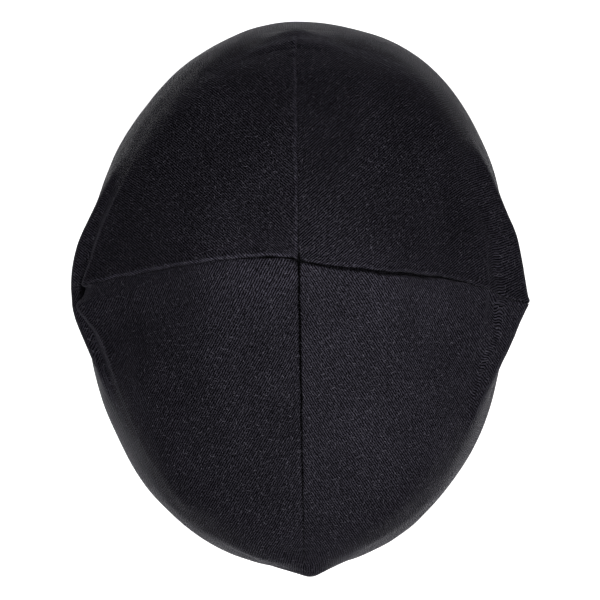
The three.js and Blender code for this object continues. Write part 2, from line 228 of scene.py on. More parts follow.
GAP_VARIES = 0.3  # and the gap
GAP_LENGTH = 6  # from one wide place of the gap to the next
WANDER_LENGTH = 19  # from one bend of a seam to the next
WANDER_START = 12  # down from the crown, where a seam strays in full
LUMPS = ((34, 0.14), (13, 0.05))  # worn cloth's unevenness: the length from bump to bump, the height
SLACK_LENGTH = 52  # from one soft fold of the wall to the next
SLACK_RUN = 0.3  # how much height counts in them against plan: low, so that they run up the wall
SLACK_TOP = 25  # above the widest line, where the soft folds end
SLACK_EASING = 40  # height over which they grow to their full depth
STITCH_PULL = 0.28  # how far a row of stitches draws the cloth in
STITCH_PULL_WIDTH = 0.9
THREAD_RADIUS = 0.16
THREAD_SIDES = 6
STITCH_POINTS = 7  # along one stitch
STITCH_REACH = 0.42  # half a stitch, as a share of the distance to the next
STITCH_RISE = 0.12  # how far the middle of a stitch stands out
STITCH_SINK = 0.3  # how deep the ends of a stitch go into the cloth
STITCH_BEND = 6  # how near its ends it bends down to there, as a power
SWING_STEPS = 6  # of the inner thread, from one row to the other
THREAD_BED = 0.1  # how deep the inner thread lies in the hem
THREAD_TURN = 0.6  # below the hem's cut edge, where the inner thread turns back
HEM_BULK = (0.5, 6)  # how much thicker the hem is at a side seam, and how far to each side
HEM_NICK = (0.8, 0.6)  # how deep the seam's own line is in it, and how wide
HEM_EDGE_WAVE = (0.25, 9)  # how far its cut edge waves, and the length from one wave to the next
HEM_EDGE_ROUND = 0.35  # how far its cut edge is rounded up
HEM_FOOT_ROUND = 0.3  # and its foot down
ROOF_HEIGHT = 1.3  # how far the side seams hold the crown up as a ridge
ROOF_WIDTH = 13  # of the ridge, from its top to one side
ROOF_LENGTH = 44  # of the ridge, from the crown down

# The four gores between the seams, anticlockwise from the right. grain is the angle about the
# crown that the knit's wales run along, and the pair after it how much paler the gore is painted,
# near the crown and farther down: a painted highlight for the light that its nap, cut that way,
# throws back from the lamps.
GORES = [
    {"from": "right", "to": "back", "grain": 41, "painted_nap_light": (0.06, 0), "panel": "back_panel"},
    {"from": "back", "to": "left", "grain": 137, "painted_nap_light": (0.1, 0.08), "panel": "back_panel"},
    {"from": "left", "to": "front", "grain": 241, "painted_nap_light": (0.4, 0), "panel": "front_panel"},
    {"from": "front", "to": "right", "grain": 303, "painted_nap_light": (0.42, 0.42), "panel": "front_panel"},
]
PAINTED_NAP_PLACES = (20, 60, 115)  # down a gore: the first painted nap light to here, the second here, none from here
RIDGE_PAINTED_HIGHLIGHT = 0.5  # painted highlight: how pale the top of the ridge along the side seams is coloured
DART_OF = {"back_panel": "back", "front_panel": "front"}
SEAM_SHADE = -0.85  # painted shade on the walls of the cut edges down in a seam: -1 is black
DART_HOLD = 14  # how far to each side of a closed dart the wales keep step across it
WALL_SHARE = 0.93  # rows this long, against the widest, have as many wales as the widest

# How finely the cloth is meshed.
GORE_COLUMNS = 84
EDGE_CROWDING = 0.1  # distance between columns at a seam, as a share of that in mid gore
CROWDING_CURVE = 1.5  # power of the curve from one to the other
DOME_ROWS = 56  # from the crown to the shoulder
STATION_ROWS = (28, 11, 6, 9, 16, 16, 22, 42)  # from each station of a column to the next
ROW_CROWDING = (0.8, -0.6, 0, 0, 0, 0, 0, 0)  # above 0 where rows are closer at the lower station
FOLD_SPANS = 5  # the first of them hold the folds
TUCK_BEND = 16  # how near the crest the cloth bends into a tuck, as a power
SHOULDER_EASING = 60  # passes that round the shoulder
SHOULDER_ROWS = 14  # rounded to each side of it
FOLD_EASING = 4  # passes that round the folds
FOLD_MARGIN = 3  # rows above the shoulder that are rounded with them
LINING_EASING = 36  # passes that even out which way the cloth's thickness is laid
RIM_STEPS = 9  # round the rolled rim
RIM_END = ((2, 0.3), (1.9, 0.6), (1.3, 0.7))  # and on inside: inset and rise, in radii of the roll
RIM_ROWS = RIM_STEPS + len(RIM_END)
INNER_LIFT = 1.8  # height at which the wall's inner face ends, in radii of the roll
INNER_EASING = 10  # height below which it is drawn up to there
HEM_LIFT = 1.9  # height at which the hem starts, in radii of the roll
TAUT_SWEEP = 75  # degrees to each side over which a taut line is looked for
TAUT_STEPS = 300  # and the steps in which it is
RIPPLE_WAVES = 12  # waves that add up to a random field
RIPPLE_SPREAD = (0.6, 1.4)  # how many of each fit into the wanted length, from and to
SEEDS = {"slack": 4, "lumps": (7, 8), "seams": 20, "hem edge": 61}  # of the random fields
TOUCH = 0.01  # lengths closer than this count as the same
WELD = 1e-6  # metres; corners closer than this are one
FULL_TURN = 360
SHARP_EDGE = math.radians(55)


# ---------------------------------------------------------------- the smooth outer face

def girth(height):
    """Girth at a height, as a share of the widest line."""
    up = np.clip((height - WIDEST_LEVEL) / (HEIGHT - WIDEST_LEVEL), 0, 1)
    down = np.clip((WIDEST_LEVEL - height) / WIDEST_LEVEL, 0, 1)
    dome = (1 - up ** DOME_ROUNDNESS) ** (1 / DOME_ROUNDNESS)
    return dome * (1 - RIM_TAPER * down ** RIM_EASE)


def outline_support(angle):
    """Distance from the crown's plumb line to the line that just touches the widest line, seen
    in plan, on the side that an angle faces."""
    cos, sin = np.cos(angle), np.sin(angle)
    back = np.where(cos > 0, OUTLINE_ROUNDNESS["back_right"], OUTLINE_ROUNDNESS["back_left"])
    front = np.where(cos > 0, OUTLINE_ROUNDNESS["front_right"], OUTLINE_ROUNDNESS["front_left"])
    roundness = np.where(sin > 0, back, front)
    dual = roundness / (roundness - 1)
    across = HALF_WIDTH * np.abs(cos)
    along = np.where(sin > 0, BACK_LENGTH, FRONT_LENGTH) * np.abs(sin)
    support = (across ** dual + along ** dual) ** (1 / dual)
    return support - CROWN[0] * cos - CROWN[1] * sin


def taut(degrees, share=1.0, discs=()):
    """How far a string drawn tight round the outline at a share of its size, and round some
    discs, lies from the crown's plumb line at each angle."""
    turn = np.radians(np.linspace(-TAUT_SWEEP, TAUT_SWEEP, TAUT_STEPS + 1))
    facing = np.radians(degrees)[:, None] + turn
    support = share * outline_support(facing)
    for x, y, radius in discs:
        pull = (x - CROWN[0]) * np.cos(facing) + (y - CROWN[1]) * np.sin(facing) + radius
        support = np.maximum(support, pull)
    return (support / np.cos(turn)).min(axis=1)


def along_folds(name, degrees):
    """A smooth curve through a column of the folds table, with no overshoot between its rows."""
    angles = np.array([row[0] for row in FOLDS] + [FOLDS[0][0] + FULL_TURN], float)
    column = FOLD_COLUMNS.index(name) + 1
    values = np.array([row[column] for row in FOLDS] + [FOLDS[0][column]], float)
    spans = np.diff(angles)
    slopes = np.diff(values) / spans
    before, after = np.roll(slopes, 1), slopes
    total = np.where(before * after > 0, before + after, 1)
    tangents = np.where(before * after > 0, 2 * before * after / total, 0)
    tangents = np.append(tangents, tangents[0])
    at = (degrees - angles[0]) % FULL_TURN + angles[0]
    row = np.clip(np.searchsorted(angles, at, side="right") - 1, 0, len(spans) - 1)
    share = (at - angles[row]) / spans[row]
    return (
        values[row] * (1 + 2 * share) * (1 - share) ** 2
        + tangents[row] * spans[row] * share * (1 - share) ** 2
        + values[row + 1] * (3 - 2 * share) * share ** 2
        - tangents[row + 1] * spans[row] * (1 - share) * share ** 2
    )


def lip_off(degrees, lip, widest):
    """How far the lip stands off the egg: nothing away from the corners."""
    off = np.zeros_like(degrees)
    for corner in CORNERS:
        there = (degrees - corner["from"]) % FULL_TURN < corner["to"] - corner["from"]
        share = girth(corner["level"])
        pulled = taut(degrees[there], share, corner["discs"])
        is_pulled = pulled > share * widest[there] + TOUCH
        spare = np.minimum(LIP_SPARE, pulled - share * widest[there])
        off[there] = np.where(is_pulled, pulled + spare - girth(lip[there]) * widest[there], 0)
    return off


def eased(values, passes, rows=slice(None)):
    """Values down each column, evened out between their ends by some passes."""
    values = values.copy()
    part = values[:, rows]
    for _ in range(passes):
        part[:, 1:-1] = (part[:, :-2] + 2 * part[:, 1:-1] + part[:, 2:]) / 4
    return values


def columns(degrees, rim_height):
    """Heights and reaches from the crown's plumb line of the outer face, a column to each angle,
    from crown to rim."""
    widest = taut(degrees)
    fold = {name: along_folds(name, degrees) for name in FOLD_COLUMNS}
    nothing = np.zeros_like(degrees)
    lips = lip_off(degrees, fold["lip"], widest)
    shoulder = (SHOULDER_LEVEL - WIDEST_LEVEL) / (HEIGHT - WIDEST_LEVEL)
    turns = np.linspace(0, math.acos(shoulder ** (DOME_ROUNDNESS / 2)), DOME_ROWS + 1)
    up = np.cos(turns) ** (2 / DOME_ROUNDNESS)
    dome = WIDEST_LEVEL + (HEIGHT - WIDEST_LEVEL) * up
    heights = [nothing + height for height in dome]
    offs = [nothing] * len(heights)
    strip = (
        fold["valley"] + (fold["lip"] - fold["valley"]) * ARCH_AT + fold["arch"],
        fold["valley_off"] + (lips - fold["valley_off"]) * ARCH_AT,
    )
    stations = [
        (heights[-1], nothing),
        (fold["crest"], fold["crest_off"] - fold["tuck"]),
        (fold["valley"], fold["valley_off"]),
        strip,
        (fold["lip"], lips),
        (fold["under"], lips * UNDER_OFF),
        (nothing + WIDEST_LEVEL, nothing),
        (nothing + FINE_LEVEL, nothing),
        (nothing + rim_height, nothing),
    ]
    spans = zip(stations, stations[1:], STATION_ROWS, ROW_CROWDING)
    for (high, high_off), (low, low_off), steps, crowding in spans:
        for step in range(1, steps + 1):
            share = step / steps
            share += crowding * share * (1 - share)
            heights.append(high + (low - high) * share)
            offs.append(high_off + (low_off - high_off) * share)
    heights, offs = np.array(heights).T, np.array(offs).T
    reaches = girth(heights) * widest[:, None] + offs
    flank = slice(DOME_ROWS, DOME_ROWS + STATION_ROWS[0] + 1)
    tuck = fold["tuck"][:, None]
    fall = (heights[:, flank] - SHOULDER_LEVEL) / (fold["crest"] - SHOULDER_LEVEL)[:, None]
    start, end = reaches[:, flank][:, :1], reaches[:, flank][:, -1:] + tuck
    straight = start + (end - start) * fall - tuck * fall ** TUCK_BEND
    reaches[:, flank] += fold["flat"][:, None] * (straight - reaches[:, flank])
    shoulder = slice(DOME_ROWS - SHOULDER_ROWS, DOME_ROWS + SHOULDER_ROWS)
    folded = slice(DOME_ROWS - FOLD_MARGIN, DOME_ROWS + sum(STATION_ROWS[:FOLD_SPANS]))
    for passes, rows in ((SHOULDER_EASING, shoulder), (FOLD_EASING, folded)):
        heights, reaches = eased(heights, passes, rows), eased(reaches, passes, rows)
    return heights, reaches, widest


def unit(vectors):
    """Vectors brought to length 1."""
    return vectors / np.linalg.norm(vectors, axis=-1, keepdims=True)


class Face:
    """The hat's smooth outer face: columns of points round a closed ring, from crown to rim."""

    def __init__(self, rim_height):
        steps = np.linspace(0, 1, GORE_COLUMNS)
        widths = EDGE_CROWDING + (1 - EDGE_CROWDING) * np.sin(np.pi * steps) ** CROWDING_CURVE
        shares = np.append(0, np.cumsum(widths)) / widths.sum()
        spans = []
        for gore in GORES:
            start = SEAM_ANGLE[gore["from"]]
            span = (SEAM_ANGLE[gore["to"]] - start) % FULL_TURN
            spans.append(start + span * shares[:-1])
        self.degrees = np.concatenate(spans)
        heights, reaches, widest = columns(self.degrees, rim_height)
        angle = np.radians(self.degrees)[:, None]
        share = np.where(heights > WIDEST_LEVEL, np.minimum(1, reaches / widest[:, None]), 1)
        on_right = np.cos(angle)[..., None] > 0
        bow, skew = np.moveaxis(np.where(on_right, SEAM_BOW["right"], SEAM_BOW["left"]), -1, 0)
        bowed = bow * np.cos(angle) ** BOW_FADE * np.sin(np.pi * share ** skew)
        self.points = np.stack([
            CROWN[0] + reaches * np.cos(angle),
            CROWN[1] + reaches * np.sin(angle) + bowed,
            heights,
        ], axis=-1)
        plan = self.points[..., :2]
        cad_middle = (np.array(CAD_BOX[0])[:2] + np.array(CAD_BOX[1])[:2]) / 2 / MM
        plan -= (plan.min((0, 1)) + plan.max((0, 1))) / 2 - cad_middle
        self.reaches = reaches
        around = np.roll(self.points, -1, axis=0) - np.roll(self.points, 1, axis=0)
        down = np.gradient(self.points, axis=1)
        down[:, 0] = self.points[:, 1] - self.points[:, 0]
        normals = np.cross(down, around)
        normals[:, 0] = (0, 0, 1)
        self.normals = unit(normals)
        self.lining = unit(eased(self.normals, LINING_EASING))

    def gore(self, number):
        """Numbers of a gore's columns, both seams included."""
        first = number * GORE_COLUMNS
        return np.arange(first, first + GORE_COLUMNS + 1) % len(self.degrees)


# ---------------------------------------------------------------- uneven cloth

def ripple(places, length, seed):
    """A smooth random field about 1 high, with bumps about a length apart. places has a last
    axis of coordinates."""
    random = np.random.default_rng(seed)
    total = 0
    for _ in range(RIPPLE_WAVES):
        way = unit(random.normal(size=places.shape[-1]))
        turns = 2 * math.pi / length * random.uniform(*RIPPLE_SPREAD)
        total = total + np.sin(places @ way * turns + random.uniform(0, 2 * math.pi))
    return total / math.sqrt(RIPPLE_WAVES / 2)


def uneven(points, cloth):
    """How far worn, washed cloth stands off the smooth face."""
    height = points[..., 2]
    on_wall = np.clip((WIDEST_LEVEL + SLACK_TOP - height) / SLACK_EASING, 0, 1)
    folds = ripple(points * (1, 1, SLACK_RUN), SLACK_LENGTH, SEEDS["slack"])
    lumps = sum(
        ripple(points, length, seed) * high for seed, (length, high) in zip(SEEDS["lumps"], LUMPS)
    )
    return folds * cloth.slack / MM * on_wall + lumps


def roof(points, slants):
    """How much there is of the low ridge that the side seams hold up near the crown."""
    aside, along, _ = np.moveaxis(points - points[0, 0], -1, 0)
    right, left = (math.tan(math.radians(SEAM_ANGLE[name])) for name in ("right", "left"))
    from_seam = along - aside * np.where(aside > 0, right, left)
    return np.exp(-((from_seam / ROOF_WIDTH) ** 2) - (slants / ROOF_LENGTH) ** 2)


def dimples(height, hem):
    """How far the hem's two rows of stitches draw the cloth in."""
    drawn = 0
    for level in (hem.low_row / MM, hem.high_row / MM):
        drawn = drawn - STITCH_PULL * np.exp(-(((height - level) / STITCH_PULL_WIDTH) ** 2))
    return drawn


def beside_seam(seam, side, distance, along, closing):
    """How far the cloth at a distance from a seam stands off the smooth face, how far its edge is
    rolled down, how far it strays with the seam, how far it is drawn back from it, and how its
    colour changes: paler where the swelling is worn and carries a painted highlight, darker with
    painted shade down in the seam. side is 0 on the seam's clockwise side and 1 on the other.
    closing is 1 where the cloth is cut and sewn and 0 past a dart's tip, where it is whole."""
    style = SEAMS[seam]
    line = along[..., None] + 0 * distance[..., None]
    seed = SEEDS["seams"] + 3 * list(SEAMS).index(seam)
    fall = np.clip(1 - distance / style["roll"], 0, 1)
    depth = np.interp(along, style["along"], style["depth"])
    rolled = depth * (1 - np.sqrt(1 - fall ** 2))
    swell = style["swell"][side] * np.exp(-(((distance - SWELL_AT) / SWELL_WIDTH) ** 2))
    swell = swell * (1 + SWELL_VARIES * ripple(line, 2 * PUCKER_LENGTH, seed + 1))
    pucker = PUCKER_HEIGHT * ripple(line, PUCKER_LENGTH, seed + side)
    pucker = pucker * np.exp(-((distance / PUCKER_WIDTH) ** 2))
    stand = np.interp(along, style["along"], style["stand"])
    gap = np.interp(along, style["along"], style["gap"])
    gap = gap * (1 + GAP_VARIES * ripple(along[..., None], GAP_LENGTH, seed + 2))
    gap = gap * (1 if side else -1)
    stray = style["wander"] * ripple(along[..., None], WANDER_LENGTH, seed)
    stray = stray * np.clip(along / WANDER_START, 0, 1)
    give = np.exp(-((distance / GIVE_WIDTH) ** 2)) * closing
    # Paleness on the swelling: partly wear, partly a painted highlight of the raised edge.
    worn_and_painted_light = style["worn_and_painted_light"][side] * stand * np.exp(-(((distance - PALEST_AT) / PALE_WIDTH) ** 2))
    worn_and_painted_light = worn_and_painted_light * (1 + PALENESS_VARIES * ripple(line, PUCKER_LENGTH, seed + 1))
    # Painted shade: the cloth is coloured dark along the seam line, more so where it rolls deeper.
    shaded = np.minimum(1, depth / SHADED_DEPTH) * np.exp(-((distance / SHADED_WIDTH) ** 2))
    return (
        (swell * stand + pucker) * closing, rolled * closing, stray * give, gap / 2 * give,
        (worn_and_painted_light - shaded) * closing,
    )


# ---------------------------------------------------------------- meshes

class Piece:
    """Collects grids of points, with their places in the knit and on the baked picture, and
    makes them into one Blender object."""

    def __init__(self):
        self.points, self.knit, self.bake, self.wear_and_painted_light = [], [], [], []
        self.faces, self.materials = [], []
        self.count = 0

    def grid(self, points, knit, bake, material=0, closed=(False, False), wear_and_painted_light=0):
        """Adds a grid of quads, seen from outside when its columns run to the right and its rows
        run down. closed joins the last column to the first, and the last row. The last argument is
        above 0 where the cloth is worn pale and where highlights are painted on, and below 0 where
        shade is painted dark."""
        wide, high = points.shape[:2]
        numbers = self.count + np.arange(wide * high).reshape(wide, high)
        if closed[0]:
            numbers = np.concatenate([numbers, numbers[:1]])
        if closed[1]:
            numbers = np.concatenate([numbers, numbers[:, :1]], axis=1)
        quads = np.stack([
            numbers[:-1, :-1], numbers[:-1, 1:], numbers[1:, 1:], numbers[1:, :-1],
        ], axis=-1).reshape(-1, 4)
        self.points.append(points.reshape(-1, 3))
        self.knit.append(knit.reshape(-1, 2))
        self.bake.append(bake.reshape(-1, 2))
        self.wear_and_painted_light.append(np.broadcast_to(wear_and_painted_light, points.shape[:2]).reshape(-1))
        self.faces.append(quads)
        cells = np.array(numbers.shape) - 1
        self.materials.append(np.broadcast_to(material, cells).reshape(-1))
        self.count += wide * high

    def make(self, name, materials):
        """The finished object, riding on the hat's body."""
        points = np.concatenate(self.points) * MM
        faces = np.concatenate(self.faces)
        mesh = bpy.data.meshes.new(name)
        mesh.from_pydata(points.tolist(), [], faces.tolist())
        corners = faces.reshape(-1)
        for map_name, places in (("Knit", self.knit), ("OFBake", self.bake)):
            layer = mesh.uv_layers.new(name=map_name)
            layer.data.foreach_set("uv", np.concatenate(places)[corners].reshape(-1))
        # Wear, painted highlights and painted shade, for the materials to colour by.
        worn_and_painted_light = mesh.attributes.new("wear_and_painted_light", "FLOAT", "POINT")
        worn_and_painted_light.data.foreach_set("value", np.concatenate(self.wear_and_painted_light).astype(float))
        for material in materials:
            mesh.materials.append(material)
        mesh.polygons.foreach_set("material_index", np.concatenate(self.materials))
        mesh.shade_smooth()
        piece = bpy.data.objects.new(name, mesh)
        bpy.context.scene.collection.objects.link(piece)
        weld(mesh)
        mesh.set_sharp_from_angle(angle=SHARP_EDGE)
        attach(piece, BODY)
        return piece


def weld(mesh):
    """Joins a mesh's corners that lie on each other."""
    work = bmesh.new()
    work.from_mesh(mesh)
    bmesh.ops.remove_doubles(work, verts=work.verts, dist=WELD)
    work.to_mesh(mesh)
    work.free()


# ---------------------------------------------------------------- the two panels

def rolled_rim(points, inwards, fold):
    """Rows that carry a panel's last row round under the rim and up to the hem."""
    turns = np.linspace(0, math.pi, RIM_STEPS + 1)[1:]
    rows = [(fold * (1 - math.cos(turn)), -fold * math.sin(turn)) for turn in turns]
    rows += [(inset * fold, rise * fold) for inset, rise in RIM_END]
    return np.stack([
        points + inwards * inset + np.array((0, 0, rise)) for inset, rise in rows
    ], axis=1)


class Gore:
    """One gore: its columns on the smooth face, how far each point is from the gore's two seams
    and from the crown, and how far its soft cloth stands off the smooth face."""

    def __init__(self, number, face, jersey, hem):
        self.plan = GORES[number]
        self.dart = DART_OF[self.plan["panel"]]
        self.starts_at_dart = self.plan["from"] == self.dart
        cols = face.gore(number)
        self.points = face.points[cols]
        self.normals = face.normals[cols]
        self.lining = face.lining[cols]
        self.reaches = face.reaches[cols]
        self.degrees = face.degrees[cols]
        self.heights = self.points[..., 2]
        steps = np.linalg.norm(np.diff(self.points, axis=0), axis=-1)
        self.arcs = np.concatenate([np.zeros((1, steps.shape[1])), np.cumsum(steps, axis=0)])
        falls = np.linalg.norm(np.diff(self.points, axis=1), axis=-1)
        self.slants = np.concatenate([np.zeros((len(falls), 1)), np.cumsum(falls, axis=1)], axis=1)
        self.soft = uneven(self.points, jersey) + dimples(self.heights, hem)
        self.soft = self.soft + ROOF_HEIGHT * roof(self.points, self.slants)

    def painted_light_and_wear(self):
        """Painted light, with wear: the paler colour painted for the light the nap throws back, the
        painted highlight on the ridge at the crown, the crests of the folds, worn and with a painted
        highlight, and the strips below them, painted paler against their shade."""
        crest = DOME_ROWS + STATION_ROWS[0]
        from_crest = self.slants - self.slants[:, crest:crest + 1]
        worn_and_painted_light = along_folds("worn_and_painted_light", self.degrees)[:, None]
        on_crest = np.exp(-((from_crest / CREST_WIDTH) ** 2))
        on_strip = (from_crest > 0) & (self.heights > along_folds("under", self.degrees)[:, None])
        pale = worn_and_painted_light * np.maximum(on_crest, STRIP_PAINTED_LIGHT * on_strip)
        pale = pale + RIDGE_PAINTED_HIGHLIGHT * roof(self.points, self.slants)
        return pale + np.interp(self.slants, PAINTED_NAP_PLACES, (*self.plan["painted_nap_light"], 0))

    def outside(self):
        """The outer face with its seam edges rolled, how far the seams stray there, and how its colour
        changes: wear, painted highlights and painted shade."""
        off, rolls, wear_and_painted_light = self.soft, [], self.painted_light_and_wear()
        strays, gaps = np.zeros_like(self.points), np.zeros_like(self.points)
        for seam, side, distance, edge in (
            (self.plan["from"], 1, self.arcs, 0),
            (self.plan["to"], 0, self.arcs[-1] - self.arcs, -1),
        ):
            closing = 1.0
            if seam == self.dart:
                closing = np.clip((self.heights[edge] - DART_TIP[seam]) / DART_CLOSING, 0, 1)
            stand, roll, stray, gap, worn_and_painted_light = beside_seam(
                seam, side, distance, self.slants[edge], closing)
            off = off + stand
            wear_and_painted_light = wear_and_painted_light + worn_and_painted_light
            rolls.append(roll)
            across = np.array(SEAMS[seam]["across"])
            strays = strays + stray[..., None] * across
            gaps = gaps + gap[..., None] * across
        off = (off - np.maximum(*rolls))[..., None]
        return self.points + self.normals * off + strays + gaps, strays, wear_and_painted_light

    def path(self, jersey, hem):
        """Each column from the crown over the outside, round the rim and back up the inside, and its
        wear, painted highlights and painted shade."""
        fold = rim_fold(jersey, hem)
        outer, strays, wear_and_painted_light = self.outside()
        inner = self.points + self.normals * self.soft[..., None] + strays
        inner = inner - self.lining * jersey.thickness / MM
        end = INNER_LIFT * fold
        share = (inner[..., 2] - fold) / (INNER_EASING - fold)
        lifted = end + share * (INNER_EASING - end)
        inner[..., 2] = np.where(share < 1, lifted, inner[..., 2])
        inwards = -unit(self.normals[:, -1] * (1, 1, 0))
        path = np.concatenate([outer, rolled_rim(outer[:, -1], inwards, fold), inner[:, ::-1]], axis=1)
        path[..., 2] = np.maximum(0, path[..., 2])
        unmarked = np.zeros((len(path), path.shape[1] - wear_and_painted_light.shape[1]))
        return path, np.maximum(-1, np.concatenate([wear_and_painted_light, unmarked], axis=1))

    def knit(self):
        """Places in the knit, mm: how far across the wales from the dart and how far down them.
        A dart's two sides agree where it has closed."""
        total = self.arcs[-1]
        row = np.argmin(np.abs(self.heights[0] - WIDEST_LEVEL))
        widest = total[row]
        target = np.minimum(widest, total / WALL_SHARE)
        stretch = target / np.maximum(total, TOUCH)
        half_turn = FULL_TURN / 2
        turned = (self.degrees - self.plan["grain"] + half_turn) % FULL_TURN - half_turn
        grain = np.interp(0, turned, self.arcs[:, row]) / widest
        if self.starts_at_dart:
            across = self.arcs * stretch + grain * (widest - target)
            line, from_dart = grain * widest, self.arcs
        else:
            across = (self.arcs - total) * stretch - (1 - grain) * (widest - target)
            line, from_dart = (grain - 1) * widest, total - self.arcs
        # Where the cloth lies level its wales run straight in plan. Beside a closed dart they keep
        # step with the wales beyond it instead.
        straight = line + self.reaches / WALL_SHARE * np.sin(np.radians(turned))[:, None]
        closed = 1 - np.clip((self.heights - DART_TIP[self.dart]) / DART_CLOSING, 0, 1)
        level = np.clip(self.normals[..., 2], 0, 1)
        loose = level * (1 - closed * np.exp(-((from_dart / DART_HOLD) ** 2)))
        across = across + loose * (straight - across)
        lost = self.reaches * (1 - np.cos(np.radians(turned)))[:, None]
        return np.stack([across, self.slants - level * lost], axis=-1)


def rim_fold(jersey, hem):
    """Radius of the rolled rim, mm: half of the wall, the hem and the gap between them."""
    return (jersey.thickness + hem.thickness) / MM / 2 + HEM_GAP / 2


@functools.lru_cache
def face_down_to(rim_height):
    """The smooth outer face, worked out once for each height of the rim."""
    return Face(rim_height)


def hat_gores(jersey, hem):
    """The four gores, anticlockwise from the right."""
    face = face_down_to(rim_fold(jersey, hem))
    return [Gore(number, face, jersey, hem) for number in range(len(GORES))]


def build_panel(name, jersey, hem, materials):
    """A panel: two gores that are cut apart down to the dart's tip and are one cloth below."""
    gores = [gore for gore in hat_gores(jersey, hem) if gore.plan["panel"] == name]
    # The baked picture has the two gores side by side, the outside above and the inside below.
    apart, wall, rim_step, inside_share = 2.2, 1.6, 0.7, 0.5  # mm, and a share of full size
    picture = 2 * (max(gore.arcs[-1].max() for gore in gores) + apart + 2 * wall)
    fall = np.mean([gore.slants.mean(axis=0) for gore in gores], axis=0)
    rim_fall = fall[-1] + rim_step * np.arange(1, RIM_ROWS + 1)
    inner_fall = rim_fall[-1] + 2 * apart + (fall[-1] - fall[::-1]) * inside_share
    fall = np.concatenate([fall, rim_fall, inner_fall]) + apart
    down = 1 - fall / (fall[-1] + apart)

    piece = Piece()
    for gore in gores:
        path, wear_and_painted_light = gore.path(jersey, hem)
        sides = gore.arcs + apart if gore.starts_at_dart else gore.arcs - gore.arcs[-1] - apart
        across = 0.5 + along_path(sides) / picture
        bake = np.stack([across, np.broadcast_to(down, path.shape[:2])], axis=-1)
        knit = np.stack([along_path(part) for part in np.moveaxis(gore.knit(), -1, 0)], axis=-1)
        knit[..., 1] += np.clip(np.arange(path.shape[1]) - gore.arcs.shape[1], 0, RIM_ROWS) * rim_step
        is_inside = np.arange(path.shape[1] - 1) >= gore.arcs.shape[1] + RIM_ROWS - 1
        inside = np.broadcast_to(is_inside, np.array(path.shape[:2]) - 1)
        piece.grid(path, knit, bake, inside, wear_and_painted_light=wear_and_painted_light)

        # The walls of the cut edges down in each seam, coloured dark as their painted shade.
        for edge, is_start in ((0, True), (-1, False)):
            length = path.shape[1] // 2
            if is_start == gore.starts_at_dart:
                length = int(np.argmax(gore.heights[edge] < DART_TIP[gore.dart] + TOUCH)) + 1
            pairs = [[grid[edge, :length], grid[edge, ::-1][:length]] for grid in (path, knit, bake)]
            out = -wall if is_start else wall
            pairs[2][1] = pairs[2][0] + np.array((out / picture, 0))
            strip = (np.stack(pair[::-1] if is_start else pair) for pair in pairs)
            piece.grid(*strip, 1, wear_and_painted_light=SEAM_SHADE)
    built = piece.make(name.replace("panel", "cloth"), materials)
    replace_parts(built, name)


def along_path(values):
    """Values for the rows of the outside, held round the rim and repeated back up the inside."""
    rim = np.repeat(values[:, -1:], RIM_ROWS, axis=1)
    return np.concatenate([values, rim, values[:, ::-1]], axis=1)


# ---------------------------------------------------------------- the hem and its stitches

def build_hem(jersey, hem, materials):
    """The turned-up edge: a band inside the rim, in one ring."""
    fold = rim_fold(jersey, hem)
    piece = Piece()
    for number, gore in enumerate(hat_gores(jersey, hem)):
        heights = gore.heights[0]
        rows = np.flatnonzero((heights > HEM_LIFT * fold) & (heights < hem.height / MM))
        points, normals = gore.points[:, rows], gore.normals[:, rows]
        base = points + normals * (gore.soft[:, rows] - jersey.thickness / MM - HEM_GAP)[..., None]
        from_seam = gore.arcs[-1] - gore.arcs if gore.starts_at_dart else gore.arcs
        from_seam = from_seam[:, rows]
        bulk = HEM_BULK[0] * np.exp(-((from_seam / HEM_BULK[1]) ** 4))
        bulk = bulk - HEM_NICK[0] * np.exp(-((from_seam / HEM_NICK[1]) ** 2))
        thick = hem.thickness / MM + bulk + dimples(points[..., 2], hem)
        inner = base - normals * thick[..., None]
        top = (base[:, :1] + inner[:, :1]) / 2 + np.array((0, 0, HEM_EDGE_ROUND))
        wave_height, wave_length = HEM_EDGE_WAVE
        wave = wave_height * ripple(points[:, :1], wave_length, SEEDS["hem edge"])[:, 0]
        for part in (inner, base, top):
            part[:, 0, 2] += wave
        foot = (base[:, -1:] + inner[:, -1:]) / 2 - np.array((0, 0, HEM_FOOT_ROUND))
        path = np.concatenate([top, base, foot, inner[:, ::-1], top], axis=1)
        steps = np.linalg.norm(np.diff(path, axis=1), axis=-1).mean(axis=0)
        fall = np.append(0, np.cumsum(steps))
        arcs = gore.arcs[:, rows[:1]]
        knit = np.stack(np.broadcast_arrays(arcs, fall), axis=-1)
        margin = 3
        picture = np.array((arcs.max() + 2 * margin, (fall[-1] + 2 * margin) * len(GORES)))
        place = knit + np.array((margin, margin + number * (fall[-1] + 2 * margin)))
        piece.grid(path, knit, place / picture, 0)
    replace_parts(piece.make("hem_band", materials), "hem")


def stitch_line(jersey, hem, height, inset=0.0):
    """A closed line round the outer face at a height, with its normals and how far round it is
    at each of its points."""
    gores = hat_gores(jersey, hem)
    row = np.argmin(np.abs(gores[0].heights[0] - height))
    points = np.concatenate([
        (gore.points + gore.normals * (gore.soft - inset)[..., None])[:-1, row] for gore in gores
    ])
    normals = np.concatenate([gore.normals[:-1, row] for gore in gores])
    points, normals = (np.concatenate([part, part[:1]]) for part in (points, normals))
    round_it = np.append(0, np.cumsum(np.linalg.norm(np.diff(points, axis=0), axis=-1)))
    return points, normals, round_it


def follow(line, places):
    """Points and normals of a stitch line at some distances round it."""
    points, normals, round_it = line
    places = places % round_it[-1]
    return (
        np.stack([np.interp(places, round_it, axis) for axis in points.T], axis=-1),
        unit(np.stack([np.interp(places, round_it, axis) for axis in normals.T], axis=-1)),
    )


